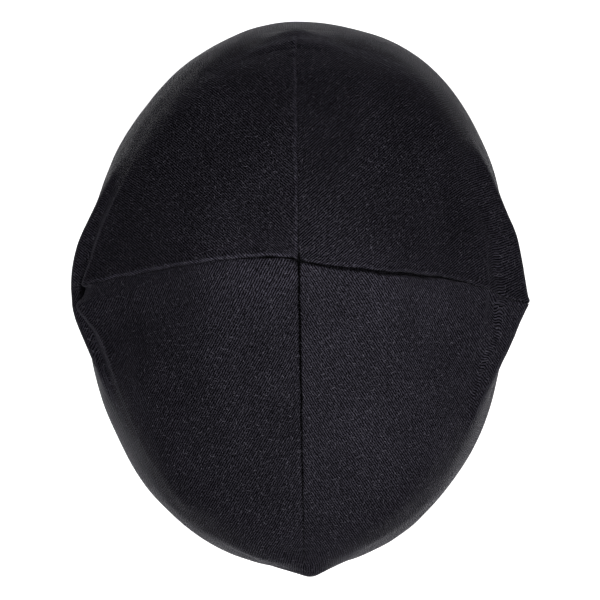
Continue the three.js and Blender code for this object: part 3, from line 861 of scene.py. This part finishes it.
def add_thread(piece, points, ups, closed=False):
    """Adds one thread: a tube along some points, narrowed to a point at both ends unless it is
    closed on itself."""
    if closed:
        along = unit(np.roll(points, -1, axis=0) - np.roll(points, 1, axis=0))
    else:
        along = unit(np.gradient(points, axis=0))
    across = unit(np.cross(along, ups))
    ups = np.cross(across, along)
    turns = np.linspace(0, 2 * math.pi, THREAD_SIDES, endpoint=False)[:, None]
    radii = np.full(len(points), THREAD_RADIUS)
    if not closed:
        radii[[0, -1]] = 0
    ring = points[:, None] + radii[:, None, None] * (
        ups[:, None] * np.cos(turns) + across[:, None] * np.sin(turns))
    lengths = np.append(0, np.cumsum(np.linalg.norm(np.diff(points, axis=0), axis=-1)))
    turned = turns[:, 0] / (2 * math.pi)
    places = np.stack(np.broadcast_arrays(lengths[:, None], turned), axis=-1)
    piece.grid(ring, places, places * (1 / (lengths[-1] + 1), 1), 0, closed=(closed, True))


def build_outer_stitches(jersey, hem, materials):
    """The outside of the hem's cover stitch: two rows of short stitches."""
    piece = Piece()
    along = np.linspace(-1, 1, STITCH_POINTS)
    rise = STITCH_RISE * (1 - along ** 2) - STITCH_SINK * along ** STITCH_BEND
    for level in (hem.low_row / MM, hem.high_row / MM):
        line = stitch_line(jersey, hem, level)
        length = line[2][-1]
        count = round(length / (hem.stitch / MM))
        for number in range(count):
            places = length / count * (number + 0.5 + STITCH_REACH * along)
            points, normals = follow(line, places)
            add_thread(piece, points + normals * rise[:, None], normals)
    piece.make("hem_stitches_outside", materials)


def build_inner_thread(jersey, hem, materials):
    """The inside of the cover stitch: one thread that runs to and fro over the cut edge."""
    inset = (jersey.thickness + hem.thickness) / MM + HEM_GAP - THREAD_BED
    low = stitch_line(jersey, hem, hem.low_row / MM, inset)
    high = stitch_line(jersey, hem, hem.height / MM - THREAD_TURN, inset)
    count = 2 * round(low[2][-1] / (hem.stitch / MM)) * SWING_STEPS
    round_it = np.arange(count) / count
    swing = 0.5 - 0.5 * np.cos(np.pi * np.arange(count) / SWING_STEPS)
    low_points, normals = follow(low, round_it * low[2][-1])
    high_points, _ = follow(high, round_it * high[2][-1])
    points = low_points + (high_points - low_points) * swing[:, None]
    piece = Piece()
    add_thread(piece, points - normals * STITCH_RISE, normals, closed=True)
    piece.make("hem_stitches_inside", materials)


# ---------------------------------------------------------------- the seam turnings

def along_row(values, arcs, places):
    """Values between a row's points, at some places along it."""
    order = np.argsort(arcs)
    return np.stack([np.interp(places, arcs[order], axis) for axis in values[order].T], axis=-1)


def turning_bed(face, number, widths, jersey, hem):
    """Where the turning of a gore's first seam lies: rows of points across the wall's face, the
    way the wall's thickness is laid at each, and how far down the seam each row is."""
    seam = GORES[number]["from"]
    window = np.arange(-GORE_COLUMNS // 2, GORE_COLUMNS // 2 + 1)
    cols = (number * GORE_COLUMNS + window) % len(face.degrees)
    points, lining = face.points[cols], face.lining[cols]
    soft = uneven(points, jersey) + dimples(points[..., 2], hem)
    wall = points + face.normals[cols] * soft[..., None]
    steps = np.linalg.norm(np.diff(points, axis=0), axis=-1)
    arcs = np.concatenate([np.zeros((1, steps.shape[1])), np.cumsum(steps, axis=0)])
    middle = len(window) // 2
    arcs = (arcs - arcs[middle]) * TURNING_SIDE[seam]
    falls = np.linalg.norm(np.diff(points[middle], axis=0), axis=-1)
    slants = np.append(0, np.cumsum(falls))
    end = hem.height / MM + TURNING_ABOVE_HEM
    if seam in DART_TIP:
        end = DART_TIP[seam] - TURNING_PAST_TIP
    rows = np.flatnonzero((slants > TURNING_START) & (points[middle, :, 2] > end))
    waves = widths > TURNING_WIDTH - CUT_EDGE_BAND
    wave_depth, wave_turn = CUT_EDGE_WAVE
    bed, up = [], []
    for row in rows:
        places = widths + waves * wave_depth * math.sin(slants[row] * wave_turn)
        bed.append(along_row(wall[:, row], arcs[:, row], places))
        up.append(along_row(lining[:, row], arcs[:, row], places))
    return np.array(bed), unit(np.array(up)), slants[rows]


def build_turnings(jersey, hem, materials):
    """What is left of the cloth beyond each seam, sewn together and laid to one side inside."""
    face = face_down_to(rim_fold(jersey, hem))
    gap = jersey.thickness / MM + TURNING_GAP
    widths = np.linspace(-TURNING_OVERLAP, TURNING_WIDTH, TURNING_COLUMNS)
    aside = 2 * np.linspace(0, 1, TURNING_COLUMNS) - 1
    crowned = np.sqrt(np.clip(1 - aside ** TURNING_ROUNDING, 0, 1))
    thick = TURNING_CLOTH * (TURNING_EDGE + (1 - TURNING_EDGE) * crowned)
    wave_depth, wave_turn = FACE_WAVE
    for number, gore in enumerate(GORES):
        bed, up, slants = turning_bed(face, number, widths, jersey, hem)
        wave = wave_depth * np.sin(slants * wave_turn)[:, None]
        lower = bed - up * gap
        upper = bed - up * (gap + thick + wave * crowned)[..., None]
        ring = np.concatenate([lower, upper[:, ::-1]], axis=1)
        start, end = (
            np.broadcast_to(row.mean(axis=1, keepdims=True), row.shape)
            for row in (ring[:1], ring[-1:])
        )
        ring = np.concatenate([start, ring, end])
        round_it = np.concatenate([widths, 2 * TURNING_WIDTH - widths[::-1]])
        lengths = np.pad(slants, 1, mode="edge")
        knit = np.stack(np.broadcast_arrays(round_it, lengths[:, None]), axis=-1)
        bake = (knit - knit.min((0, 1))) / (np.ptp(knit, axis=(0, 1)) + 1)
        piece = Piece()
        piece.grid(ring, knit, bake, 0, closed=(False, True))
        piece.make(f"seam_turning_{gore['from']}", materials)


# ---------------------------------------------------------------- materials

def linear(hex_colour):
    """An sRGB hex colour as linear RGBA."""
    parts = [int(hex_colour[i:i + 2], 16) / 255 for i in (1, 3, 5)]
    return tuple(
        part / 12.92 if part <= 0.04045 else ((part + 0.055) / 1.055) ** 2.4 for part in parts
    ) + (1.0,)


def add_node(tree, kind, settings=None, inputs=None):
    """Adds a node with its settings. Each input takes a value, or the output of another node."""
    node = tree.nodes.new(kind)
    for name, value in (settings or {}).items():
        setattr(node, name, value)
    for name, value in (inputs or {}).items():
        if isinstance(value, bpy.types.NodeSocket):
            tree.links.new(value, node.inputs[name])
        else:
            node.inputs[name].default_value = value
    return node


def new_material(name):
    """An empty material, and its node tree."""
    material = bpy.data.materials.new(name)
    material.use_nodes = True
    material.node_tree.nodes.clear()
    return material, material.node_tree


# The knit and its fibres are drawn coarser than real ones, which are too fine to show from here.
KNIT_DRIFT = 0.6  # how far the wales drift to and fro, in wales
DRIFT_LENGTH = 2.5  # mm from one drift to the next
LOOP_LEAN = 1.5  # how far the legs of a loop lean, in courses down for a wale aside
KNIT_RELIEF = 0.12 * MM  # height of its ridges
PURL_COURSES = 2  # courses of the purl side that are drawn as one row of bumps
HAIR_TUFTS = (1.45, 0.95)  # tufts of hair to a millimetre, across the wales and down them
DYE_PATCH = 20  # mm across an evenly dyed patch
# Loose fibres on the cloth's face, a row for each layer: mm from one to the next, their length
# and width, and how strongly they show.
FIBRE_LAYERS = [(0.8, 0.9, 0.26, 0.35), (1.5, 2.0, 0.26, 0.75), (3.1, 2.8, 0.32, 1.15)]
FIBRE_SHIFT = 40.0  # mm from one layer's pattern to the next, so that they don't lie in step
FIBRE_RELIEF = 0.5  # how high the fibres stand, against the knit's ridges
THREAD_TWIST = 1.4  # turns of the thread's plies to a millimetre
PLY_RELIEF = 0.05 * MM  # height of its plies


def fibre_mask(tree, knit, spacing, length, width, shift):
    """Short fibres lying every way on the cloth, one to a cell."""
    moved = add_node(tree, "ShaderNodeVectorMath", {"operation": "ADD"},
                     {0: knit, 1: (shift, shift, 0)})
    cells = add_node(tree, "ShaderNodeTexVoronoi", {"voronoi_dimensions": "2D"},
                     {"Vector": moved.outputs[0], "Scale": 1 / spacing, "Randomness": 1.0})
    local = add_node(tree, "ShaderNodeVectorMath", {"operation": "SUBTRACT"},
                     {0: moved.outputs[0], 1: cells.outputs["Position"]})
    chance = add_node(tree, "ShaderNodeSeparateColor", None, {"Color": cells.outputs["Color"]})
    angle = add_node(tree, "ShaderNodeMath", {"operation": "MULTIPLY"},
                     {0: chance.outputs[0], 1: math.pi})
    turned = add_node(tree, "ShaderNodeVectorRotate", {"rotation_type": "Z_AXIS"},
                      {"Vector": local.outputs[0], "Angle": angle.outputs[0]})
    scaled = add_node(tree, "ShaderNodeVectorMath", {"operation": "MULTIPLY"},
                      {0: turned.outputs[0], 1: (2 / length, 2 / width, 0)})
    streak = add_node(tree, "ShaderNodeTexGradient", {"gradient_type": "QUADRATIC_SPHERE"},
                      {"Vector": scaled.outputs[0]})
    return add_node(tree, "ShaderNodeMath", {"operation": "MULTIPLY"},
                    {0: streak.outputs["Fac"], 1: chance.outputs[1]}).outputs[0]


def loose_fibres(tree, knit):
    """How strongly the loose fibres show at each place: all their layers together."""
    fibres = 0.0
    for number, (spacing, length, width, strength) in enumerate(FIBRE_LAYERS):
        mask = fibre_mask(tree, knit, spacing, length, width, FIBRE_SHIFT * (number + 1))
        fibres = add_node(tree, "ShaderNodeMath", {"operation": "MULTIPLY_ADD"},
                          {0: mask, 1: strength, 2: fibres}).outputs[0]
    return fibres


def knit_loops(tree, knit, jersey):
    """The knit itself: how much of the yarn's colour shows at each place, against the shade
    painted in its grooves and steps, and how high it stands there.
    """
    place = add_node(tree, "ShaderNodeSeparateXYZ", None, {0: knit})
    drift = add_node(tree, "ShaderNodeTexNoise", {"noise_dimensions": "2D"},
                     {"Vector": knit, "Scale": 1 / DRIFT_LENGTH, "Detail": 2.0})
    shift = add_node(tree, "ShaderNodeMath", {"operation": "MULTIPLY"},
                     {0: drift.outputs["Fac"], 1: KNIT_DRIFT})
    # The wales: each is a ridge with a groove to both sides, painted dark as its shade.
    wale = add_node(tree, "ShaderNodeMath", {"operation": "MULTIPLY_ADD"},
                    {0: place.outputs["X"], 1: MM / jersey.wale, 2: shift.outputs[0]})
    aside = add_node(tree, "ShaderNodeMath", {"operation": "PINGPONG"}, {0: wale.outputs[0], 1: 0.5})
    ridge = add_node(tree, "ShaderNodeMapRange", {"interpolation_type": "SMOOTHSTEP"},
                     {"Value": aside.outputs[0], "From Min": 0.42, "From Max": 0.05})
    # The loops down a wale: each slopes away from the crown and ends in a step up to the next.
    lean = add_node(tree, "ShaderNodeMath", {"operation": "MULTIPLY_ADD"},
                    {0: aside.outputs[0], 1: LOOP_LEAN, 2: shift.outputs[0]})
    loop = add_node(tree, "ShaderNodeMath", {"operation": "MULTIPLY_ADD"},
                    {0: place.outputs["Y"], 1: MM / jersey.course, 2: lean.outputs[0]})
    down = add_node(tree, "ShaderNodeMath", {"operation": "FRACT"}, {0: loop.outputs[0]})
    slope = add_node(tree, "ShaderNodeMapRange", None,
                     {"Value": down.outputs[0], "From Min": 0.15, "From Max": 1.0,
                      "To Min": 1.0, "To Max": 0.25})
    # The yarn is painted darker at the step up to the next loop, as its shade.
    yarn = add_node(tree, "ShaderNodeMapRange", {"interpolation_type": "SMOOTHSTEP"},
                    {"Value": down.outputs[0], "From Min": 0.0, "From Max": 0.25,
                     "To Min": 0.35, "To Max": 1.0})
    loops = add_node(tree, "ShaderNodeMath", {"operation": "MULTIPLY"},
                     {0: ridge.outputs[0], 1: yarn.outputs[0]})
    rise = add_node(tree, "ShaderNodeMath", {"operation": "MULTIPLY_ADD"},
                    {0: ridge.outputs[0], 1: 0.8, 2: slope.outputs[0]})
    return loops.outputs[0], rise.outputs[0]


def jersey_face(jersey):
    """Black cotton single jersey, washed and worn: fine wales run down it, its yarns are matt and
    a little hairy, and pale fibres lie every way on it. Shade is painted dark in its grooves.
    Where it is worn and where highlights are painted on it is paler, and where shade is painted
    on it is darker."""
    material, tree = new_material("black_cotton_jersey_washed")
    knit = add_node(tree, "ShaderNodeUVMap", {"uv_map": "Knit"}).outputs["UV"]
    loops, rise = knit_loops(tree, knit, jersey)
    fibres = loose_fibres(tree, knit)
    stretched = add_node(tree, "ShaderNodeVectorMath", {"operation": "MULTIPLY"},
                         {0: knit, 1: (*HAIR_TUFTS, 0)})
    hairs = add_node(tree, "ShaderNodeTexNoise", {"noise_dimensions": "2D"},
                     {"Vector": stretched.outputs[0], "Scale": 1.0, "Detail": 3.0, "Roughness": 0.7})
    uneven_dye = add_node(tree, "ShaderNodeTexNoise", {"noise_dimensions": "2D"},
                          {"Vector": knit, "Scale": 1 / DYE_PATCH, "Detail": 3.0})
    # Painted shade: the grooves take the dark groove colour.
    yarn_colour = add_node(tree, "ShaderNodeMix", {"data_type": "RGBA"},
                           {"Factor": loops, 6: jersey.groove_shade_colour, 7: jersey.yarn_colour})
    rough = add_node(tree, "ShaderNodeMapRange", None,
                     {"Value": hairs.outputs["Fac"], "From Min": 0.3, "From Max": 0.7,
                      "To Min": 0.2, "To Max": 1.6})
    dyed = add_node(tree, "ShaderNodeMapRange", None,
                    {"Value": uneven_dye.outputs["Fac"], "From Min": 0.3, "From Max": 0.7,
                     "To Min": 0.88, "To Max": 1.12})
    tone = add_node(tree, "ShaderNodeMath", {"operation": "MULTIPLY"},
                    {0: rough.outputs[0], 1: dyed.outputs[0]})
    # Painted light and shade, with wear: the attribute scales the colour up and down.
    wear_and_painted_light = add_node(tree, "ShaderNodeAttribute", {"attribute_name": "wear_and_painted_light"})
    worn_and_painted_light = add_node(tree, "ShaderNodeMath", {"operation": "MULTIPLY_ADD"},
                    {0: wear_and_painted_light.outputs["Fac"], 1: tone.outputs[0], 2: tone.outputs[0]})
    toned = add_node(tree, "ShaderNodeVectorMath", {"operation": "SCALE"},
                     {0: yarn_colour.outputs[2], "Scale": worn_and_painted_light.outputs[0]})
    colour = add_node(tree, "ShaderNodeMix", {"data_type": "RGBA"},
                      {"Factor": fibres, 6: toned.outputs[0], 7: jersey.fibre_colour})
    raised = add_node(tree, "ShaderNodeMath", {"operation": "MULTIPLY_ADD"},
                      {0: fibres, 1: FIBRE_RELIEF, 2: rise})
    bump = add_node(tree, "ShaderNodeBump", None,
                    {"Height": raised.outputs[0], "Strength": 1.0, "Distance": KNIT_RELIEF})
    cloth = add_node(tree, "ShaderNodeBsdfPrincipled", None, {
        "Base Color": colour.outputs[2], "Roughness": 0.6, "Specular IOR Level": 0.02,
        "Sheen Weight": 0.12, "Sheen Roughness": 0.2, "Sheen Tint": linear("#efecff"),
        "Normal": bump.outputs[0],
    })
    add_node(tree, "ShaderNodeOutputMaterial", None, {"Surface": cloth.outputs[0]})
    return material


def jersey_back(jersey):
    """The purl side of the same jersey: rows of low bumps run across it, with shade painted dark
    between them, and it is duller.
    """
    material, tree = new_material("black_cotton_jersey_purl_side")
    knit = add_node(tree, "ShaderNodeUVMap", {"uv_map": "Knit"}).outputs["UV"]
    place = add_node(tree, "ShaderNodeVectorMath", {"operation": "MULTIPLY"},
                     {0: knit, 1: (MM / jersey.wale, MM / jersey.course / PURL_COURSES, 0)})
    bumps = add_node(tree, "ShaderNodeTexVoronoi", {"voronoi_dimensions": "2D"},
                     {"Vector": place.outputs[0], "Scale": 1.0, "Randomness": 0.25})
    rows = add_node(tree, "ShaderNodeMapRange", {"interpolation_type": "SMOOTHSTEP"},
                    {"Value": bumps.outputs["Distance"], "From Min": 0.6, "From Max": 0.1})
    # Painted shade between the bumps: the dark groove colour.
    colour = add_node(tree, "ShaderNodeMix", {"data_type": "RGBA"},
                      {"Factor": rows.outputs[0], 6: jersey.groove_shade_colour, 7: jersey.yarn_colour})
    # Painted shade in the seams: the attribute darkens the colour.
    wear_and_painted_light = add_node(tree, "ShaderNodeAttribute", {"attribute_name": "wear_and_painted_light"})
    light = add_node(tree, "ShaderNodeMath", {"operation": "ADD"}, {0: wear_and_painted_light.outputs["Fac"], 1: 1.0})
    shaded = add_node(tree, "ShaderNodeVectorMath", {"operation": "SCALE"},
                      {0: colour.outputs[2], "Scale": light.outputs[0]})
    bump = add_node(tree, "ShaderNodeBump", None,
                    {"Height": rows.outputs[0], "Strength": 1.0, "Distance": KNIT_RELIEF})
    cloth = add_node(tree, "ShaderNodeBsdfPrincipled", None, {
        "Base Color": shaded.outputs[0], "Roughness": 1.0, "Specular IOR Level": 0.02,
        "Sheen Weight": 0.02, "Sheen Roughness": 0.3, "Normal": bump.outputs[0],
    })
    add_node(tree, "ShaderNodeOutputMaterial", None, {"Surface": cloth.outputs[0]})
    return material


def sewing_thread(jersey):
    """Black spun polyester thread, two plies twisted: it shines a little more than the jersey.
    The shade between its plies is painted dark.
    """
    material, tree = new_material("black_polyester_thread_twisted")
    knit = add_node(tree, "ShaderNodeUVMap", {"uv_map": "Knit"}).outputs["UV"]
    place = add_node(tree, "ShaderNodeSeparateXYZ", None, {0: knit})
    twist = add_node(tree, "ShaderNodeMath", {"operation": "MULTIPLY_ADD"},
                     {0: place.outputs["X"], 1: THREAD_TWIST, 2: place.outputs["Y"]})
    ply = add_node(tree, "ShaderNodeMath", {"operation": "PINGPONG"}, {0: twist.outputs[0], 1: 0.5})
    lit = add_node(tree, "ShaderNodeMath", {"operation": "MULTIPLY"}, {0: ply.outputs[0], 1: 2.0})
    # Painted shade between the plies: the dark groove colour.
    colour = add_node(tree, "ShaderNodeMix", {"data_type": "RGBA"},
                      {"Factor": lit.outputs[0], 6: jersey.groove_shade_colour, 7: jersey.yarn_colour})
    bump = add_node(tree, "ShaderNodeBump", None,
                    {"Height": lit.outputs[0], "Strength": 0.8, "Distance": PLY_RELIEF})
    fibre = add_node(tree, "ShaderNodeBsdfPrincipled", None, {
        "Base Color": colour.outputs[2], "Roughness": 0.6, "Specular IOR Level": 0.4,
        "Normal": bump.outputs[0],
    })
    add_node(tree, "ShaderNodeOutputMaterial", None, {"Surface": fibre.outputs[0]})
    return material


@functools.lru_cache
def finishes():
    """The three materials of the hat, made once."""
    jersey = bpy.context.scene.beanie_jersey
    return {"face": jersey_face(jersey), "back": jersey_back(jersey), "thread": sewing_thread(jersey)}


# ---------------------------------------------------------------- the stage

# Soft lamps: the side they stand on, degrees anticlockwise from +X, their height above the
# horizon, degrees, their size in metres and their power in watts.
LAMPS = {
    "front": (-90, 20, 0.6, 8.4),
    "front_right": (-45, 20, 0.6, 3.6),
    "right": (0, 45, 0.6, 7.8),
    "back": (95, 10, 0.6, 2.4),
    "left": (180, 45, 0.6, 5.4),
    "top_right": (0, 70, 0.6, 1.6),
    "top_left": (180, 70, 0.6, 1.9),
}
LAMP_DISTANCE = 1.6  # metres
# The light all round: from each height on, as the sine of the angle above the horizon, its
# brightness. Straight below it is what the paper throws back.
SKY = [(-1, 2.2), (-0.85, 0.0), (0, 0.1)]
CAMERA_OFFSET = (-0.02, -1.15)  # mm, from the middle of the hat's box
SENSOR_WIDTH = 36  # mm
FLOOR_SIDE = 6  # metres
PAPER_GRAIN = 0.015  # metres


def white_paper(stage):
    """A sweep of matt white paper: even and bright, with a faint grain."""
    material, tree = new_material("white_paper_sweep_matt")
    grain = add_node(tree, "ShaderNodeTexNoise", None,
                     {"Scale": FLOOR_SIDE / PAPER_GRAIN, "Detail": 2.0})
    tint = add_node(tree, "ShaderNodeMix", {"data_type": "RGBA"},
                    {"Factor": grain.outputs["Fac"], 6: linear("#f2f2f2"), 7: linear("#fafafa")})
    paper = add_node(tree, "ShaderNodeBsdfPrincipled", None, {
        "Base Color": tint.outputs[2], "Roughness": 0.9,
        "Emission Color": linear("#ffffff"), "Emission Strength": stage.floor_glow,
    })
    add_node(tree, "ShaderNodeOutputMaterial", None, {"Surface": paper.outputs[0]})
    return material


def build_floor(stage):
    """A plain sheet of paper under the hat, which the camera alone sees: the light all round
    stands in for what the paper throws back on the hat."""
    mesh = bpy.data.meshes.new("floor")
    half = FLOOR_SIDE / 2
    corners = [(-half, -half, 0), (half, -half, 0), (half, half, 0), (-half, half, 0)]
    mesh.from_pydata(corners, [], [(0, 1, 2, 3)])
    mesh.materials.append(white_paper(stage))
    floor = bpy.data.objects.new("floor", mesh)
    bpy.context.scene.collection.objects.link(floor)
    floor.visible_diffuse = floor.visible_glossy = floor.visible_shadow = False


def build_lamps(middle):
    """The soft lamps, all turned to the middle of the hat."""
    for name, (azimuth, elevation, size, power) in LAMPS.items():
        light = bpy.data.lights.new(name, "AREA")
        light.shape, light.size, light.energy = "DISK", size, power
        lamp = bpy.data.objects.new(name, light)
        azimuth, elevation = math.radians(azimuth), math.radians(elevation)
        away = Vector((math.cos(azimuth) * math.cos(elevation),
                       math.sin(azimuth) * math.cos(elevation), math.sin(elevation)))
        lamp.location = middle + away * LAMP_DISTANCE
        lamp.rotation_euler = away.to_track_quat("Z", "Y").to_euler()
        bpy.context.scene.collection.objects.link(lamp)


def build_sky(stage):
    """The light all round, in bands by height."""
    world = bpy.data.worlds.new("studio")
    world.use_nodes = True
    tree = world.node_tree
    tree.nodes.clear()
    place = add_node(tree, "ShaderNodeTexCoord")
    up = add_node(tree, "ShaderNodeSeparateXYZ", None, {0: place.outputs["Generated"]})
    share = add_node(tree, "ShaderNodeMapRange", None, {"Value": up.outputs["Z"], "From Min": -1.0})
    bands = add_node(tree, "ShaderNodeValToRGB", None, {"Fac": share.outputs[0]})
    ramp = bands.color_ramp
    ramp.interpolation = "CONSTANT"
    for number, (height, glow) in enumerate(SKY):
        band = ramp.elements.new((height + 1) / 2) if number else ramp.elements[0]
        band.color = (glow, glow, glow, 1)
    sky = add_node(tree, "ShaderNodeBackground", None,
                   {"Color": bands.outputs[0], "Strength": stage.glow})
    add_node(tree, "ShaderNodeOutputWorld", None, {"Surface": sky.outputs[0]})
    bpy.context.scene.world = world
    bpy.context.scene.view_settings.view_transform = "Standard"


def build_camera(stage, middle):
    """The camera, looking straight down on the hat."""
    view = bpy.data.cameras.new("camera")
    view.lens, view.sensor_width = stage.focal_length, SENSOR_WIDTH
    camera = bpy.data.objects.new("camera", view)
    camera.location = (
        middle.x + CAMERA_OFFSET[0] * MM,
        middle.y + CAMERA_OFFSET[1] * MM,
        WIDEST_LEVEL * MM + stage.camera_rise,
    )
    bpy.context.scene.collection.objects.link(camera)
    bpy.context.scene.camera = camera


def build_stage(stage):
    """The floor, the lamps, the light all round and the camera straight above the hat."""
    middle = (CAD_BOX[0] + CAD_BOX[1]) / 2
    build_floor(stage)
    build_lamps(middle)
    build_sky(stage)
    build_camera(stage, middle)


# ---------------------------------------------------------------- settings

class BeanieJersey(bpy.types.PropertyGroup):
    """The cloth."""
    thickness: FloatProperty(
        name="Thickness", description="Thickness of the doubled jersey wall",
        default=1.6 * MM, min=0.5 * MM, max=3 * MM, unit="LENGTH", subtype="DISTANCE")
    slack: FloatProperty(
        name="Slack", description="How far the wall's soft folds stand in and out",
        default=0.45 * MM, min=0, max=3 * MM, unit="LENGTH", subtype="DISTANCE")
    wale: FloatProperty(
        name="Wale spacing", description="From one wale of the knit to the next",
        default=0.85 * MM, min=0.2 * MM, max=5 * MM, unit="LENGTH", subtype="DISTANCE")
    course: FloatProperty(
        name="Course spacing", description="From one course of the knit to the next",
        default=0.66 * MM, min=0.2 * MM, max=5 * MM, unit="LENGTH", subtype="DISTANCE")
    yarn_colour: FloatVectorProperty(
        name="Yarn", description="Colour of the yarn where it faces the light",
        default=linear("#393740"), size=4, min=0, max=1, subtype="COLOR")
    # Painted shade: the dark colour of the grooves, standing in for their shade.
    groove_shade_colour: FloatVectorProperty(
        name="Groove", description="Colour between the wales",
        default=linear("#030204"), size=4, min=0, max=1, subtype="COLOR")
    fibre_colour: FloatVectorProperty(
        name="Loose fibre", description="Colour of the fibres that lie on the cloth",
        default=linear("#86838f"), size=4, min=0, max=1, subtype="COLOR")


class BeanieHem(bpy.types.PropertyGroup):
    """The turned-up hem and its stitches."""
    height: FloatProperty(
        name="Height", description="From the rim to the hem's cut edge inside",
        default=24 * MM, min=10 * MM, max=26 * MM, unit="LENGTH", subtype="DISTANCE")
    thickness: FloatProperty(
        name="Thickness", description="Thickness of the turned-up cloth",
        default=1.2 * MM, min=0.4 * MM, max=3 * MM, unit="LENGTH", subtype="DISTANCE")
    low_row: FloatProperty(
        name="Lower row", description="Height of the lower row of stitches",
        default=17.5 * MM, min=5 * MM, max=26 * MM, unit="LENGTH", subtype="DISTANCE")
    high_row: FloatProperty(
        name="Upper row", description="Height of the upper row of stitches",
        default=22 * MM, min=5 * MM, max=26 * MM, unit="LENGTH", subtype="DISTANCE")
    stitch: FloatProperty(
        name="Stitch", description="Length of one stitch",
        default=3 * MM, min=1 * MM, max=6 * MM, unit="LENGTH", subtype="DISTANCE")


class BeanieStage(bpy.types.PropertyGroup):
    """The floor, lights and camera."""
    camera_rise: FloatProperty(
        name="Camera rise", description="Height of the camera above the hat's widest line",
        default=1.15, min=0.3, max=5, unit="LENGTH", subtype="DISTANCE")
    focal_length: FloatProperty(
        name="Focal length", description="Focal length on a sensor 36 mm wide, in millimetres",
        default=183.2, min=20, max=400)
    floor_glow: FloatProperty(
        name="Floor glow", description="How bright the paper is by itself",
        default=0.9, min=0, max=2)
    glow: FloatProperty(
        name="Glow", description="Brightness of the light all round",
        default=1.0, min=0, max=5)


# ---------------------------------------------------------------- operators

class BEANIE_OT_panels(bpy.types.Operator):
    """Build the front and the back panel, with their darts and rolled seam edges"""
    bl_idname = "beanie.panels"
    bl_label = "Panels"

    def execute(self, context):
        scene, made = context.scene, finishes()
        for name in ("back_panel", "front_panel"):
            build_panel(name, scene.beanie_jersey, scene.beanie_hem, [made["face"], made["back"]])
        return {"FINISHED"}


class BEANIE_OT_hem(bpy.types.Operator):
    """Build the turned-up hem inside the rim"""
    bl_idname = "beanie.hem"
    bl_label = "Hem"

    def execute(self, context):
        scene = context.scene
        build_hem(scene.beanie_jersey, scene.beanie_hem, [finishes()["face"]])
        return {"FINISHED"}


class BEANIE_OT_hem_stitches(bpy.types.Operator):
    """Build the two rows of stitches round the hem, and their thread inside"""
    bl_idname = "beanie.hem_stitches"
    bl_label = "Hem stitches"

    def execute(self, context):
        scene = context.scene
        build_outer_stitches(scene.beanie_jersey, scene.beanie_hem, [finishes()["thread"]])
        build_inner_thread(scene.beanie_jersey, scene.beanie_hem, [finishes()["thread"]])
        return {"FINISHED"}


class BEANIE_OT_turnings(bpy.types.Operator):
    """Build the seam turnings inside the hat"""
    bl_idname = "beanie.turnings"
    bl_label = "Seam turnings"

    def execute(self, context):
        scene = context.scene
        build_turnings(scene.beanie_jersey, scene.beanie_hem, [finishes()["back"]])
        return {"FINISHED"}


class BEANIE_OT_stage(bpy.types.Operator):
    """Set the floor, the lights and the camera"""
    bl_idname = "beanie.stage"
    bl_label = "Stage"

    def execute(self, context):
        build_stage(context.scene.beanie_stage)
        return {"FINISHED"}


STEPS = (
    BEANIE_OT_panels, BEANIE_OT_hem, BEANIE_OT_hem_stitches, BEANIE_OT_turnings, BEANIE_OT_stage,
)


class BEANIE_PT_tools(bpy.types.Panel):
    """Lists the beanie's settings and the steps that build it"""
    bl_idname = "BEANIE_PT_tools"
    bl_label = "Beanie"
    bl_space_type = "VIEW_3D"
    bl_region_type = "UI"
    bl_category = "Beanie"

    def draw(self, context):
        for name, group in SETTINGS.items():
            box = self.layout.box()
            for setting in group.__annotations__:
                box.prop(getattr(context.scene, name), setting)
        for step in STEPS:
            self.layout.operator(step.bl_idname)


SETTINGS = {"beanie_jersey": BeanieJersey, "beanie_hem": BeanieHem, "beanie_stage": BeanieStage}
CLASSES = (*SETTINGS.values(), *STEPS, BEANIE_PT_tools)


def register():
    for kind in CLASSES:
        bpy.utils.register_class(kind)
    for name, group in SETTINGS.items():
        setattr(bpy.types.Scene, name, PointerProperty(type=group))


def unregister():
    for name in SETTINGS:
        delattr(bpy.types.Scene, name)
    for kind in reversed(CLASSES):
        bpy.utils.unregister_class(kind)


def main():
    register()
    bpy.ops.beanie.panels()
    bpy.ops.beanie.hem()
    bpy.ops.beanie.hem_stitches()
    bpy.ops.beanie.turnings()
    bpy.ops.beanie.stage()


if __name__ == "__main__":
    main()
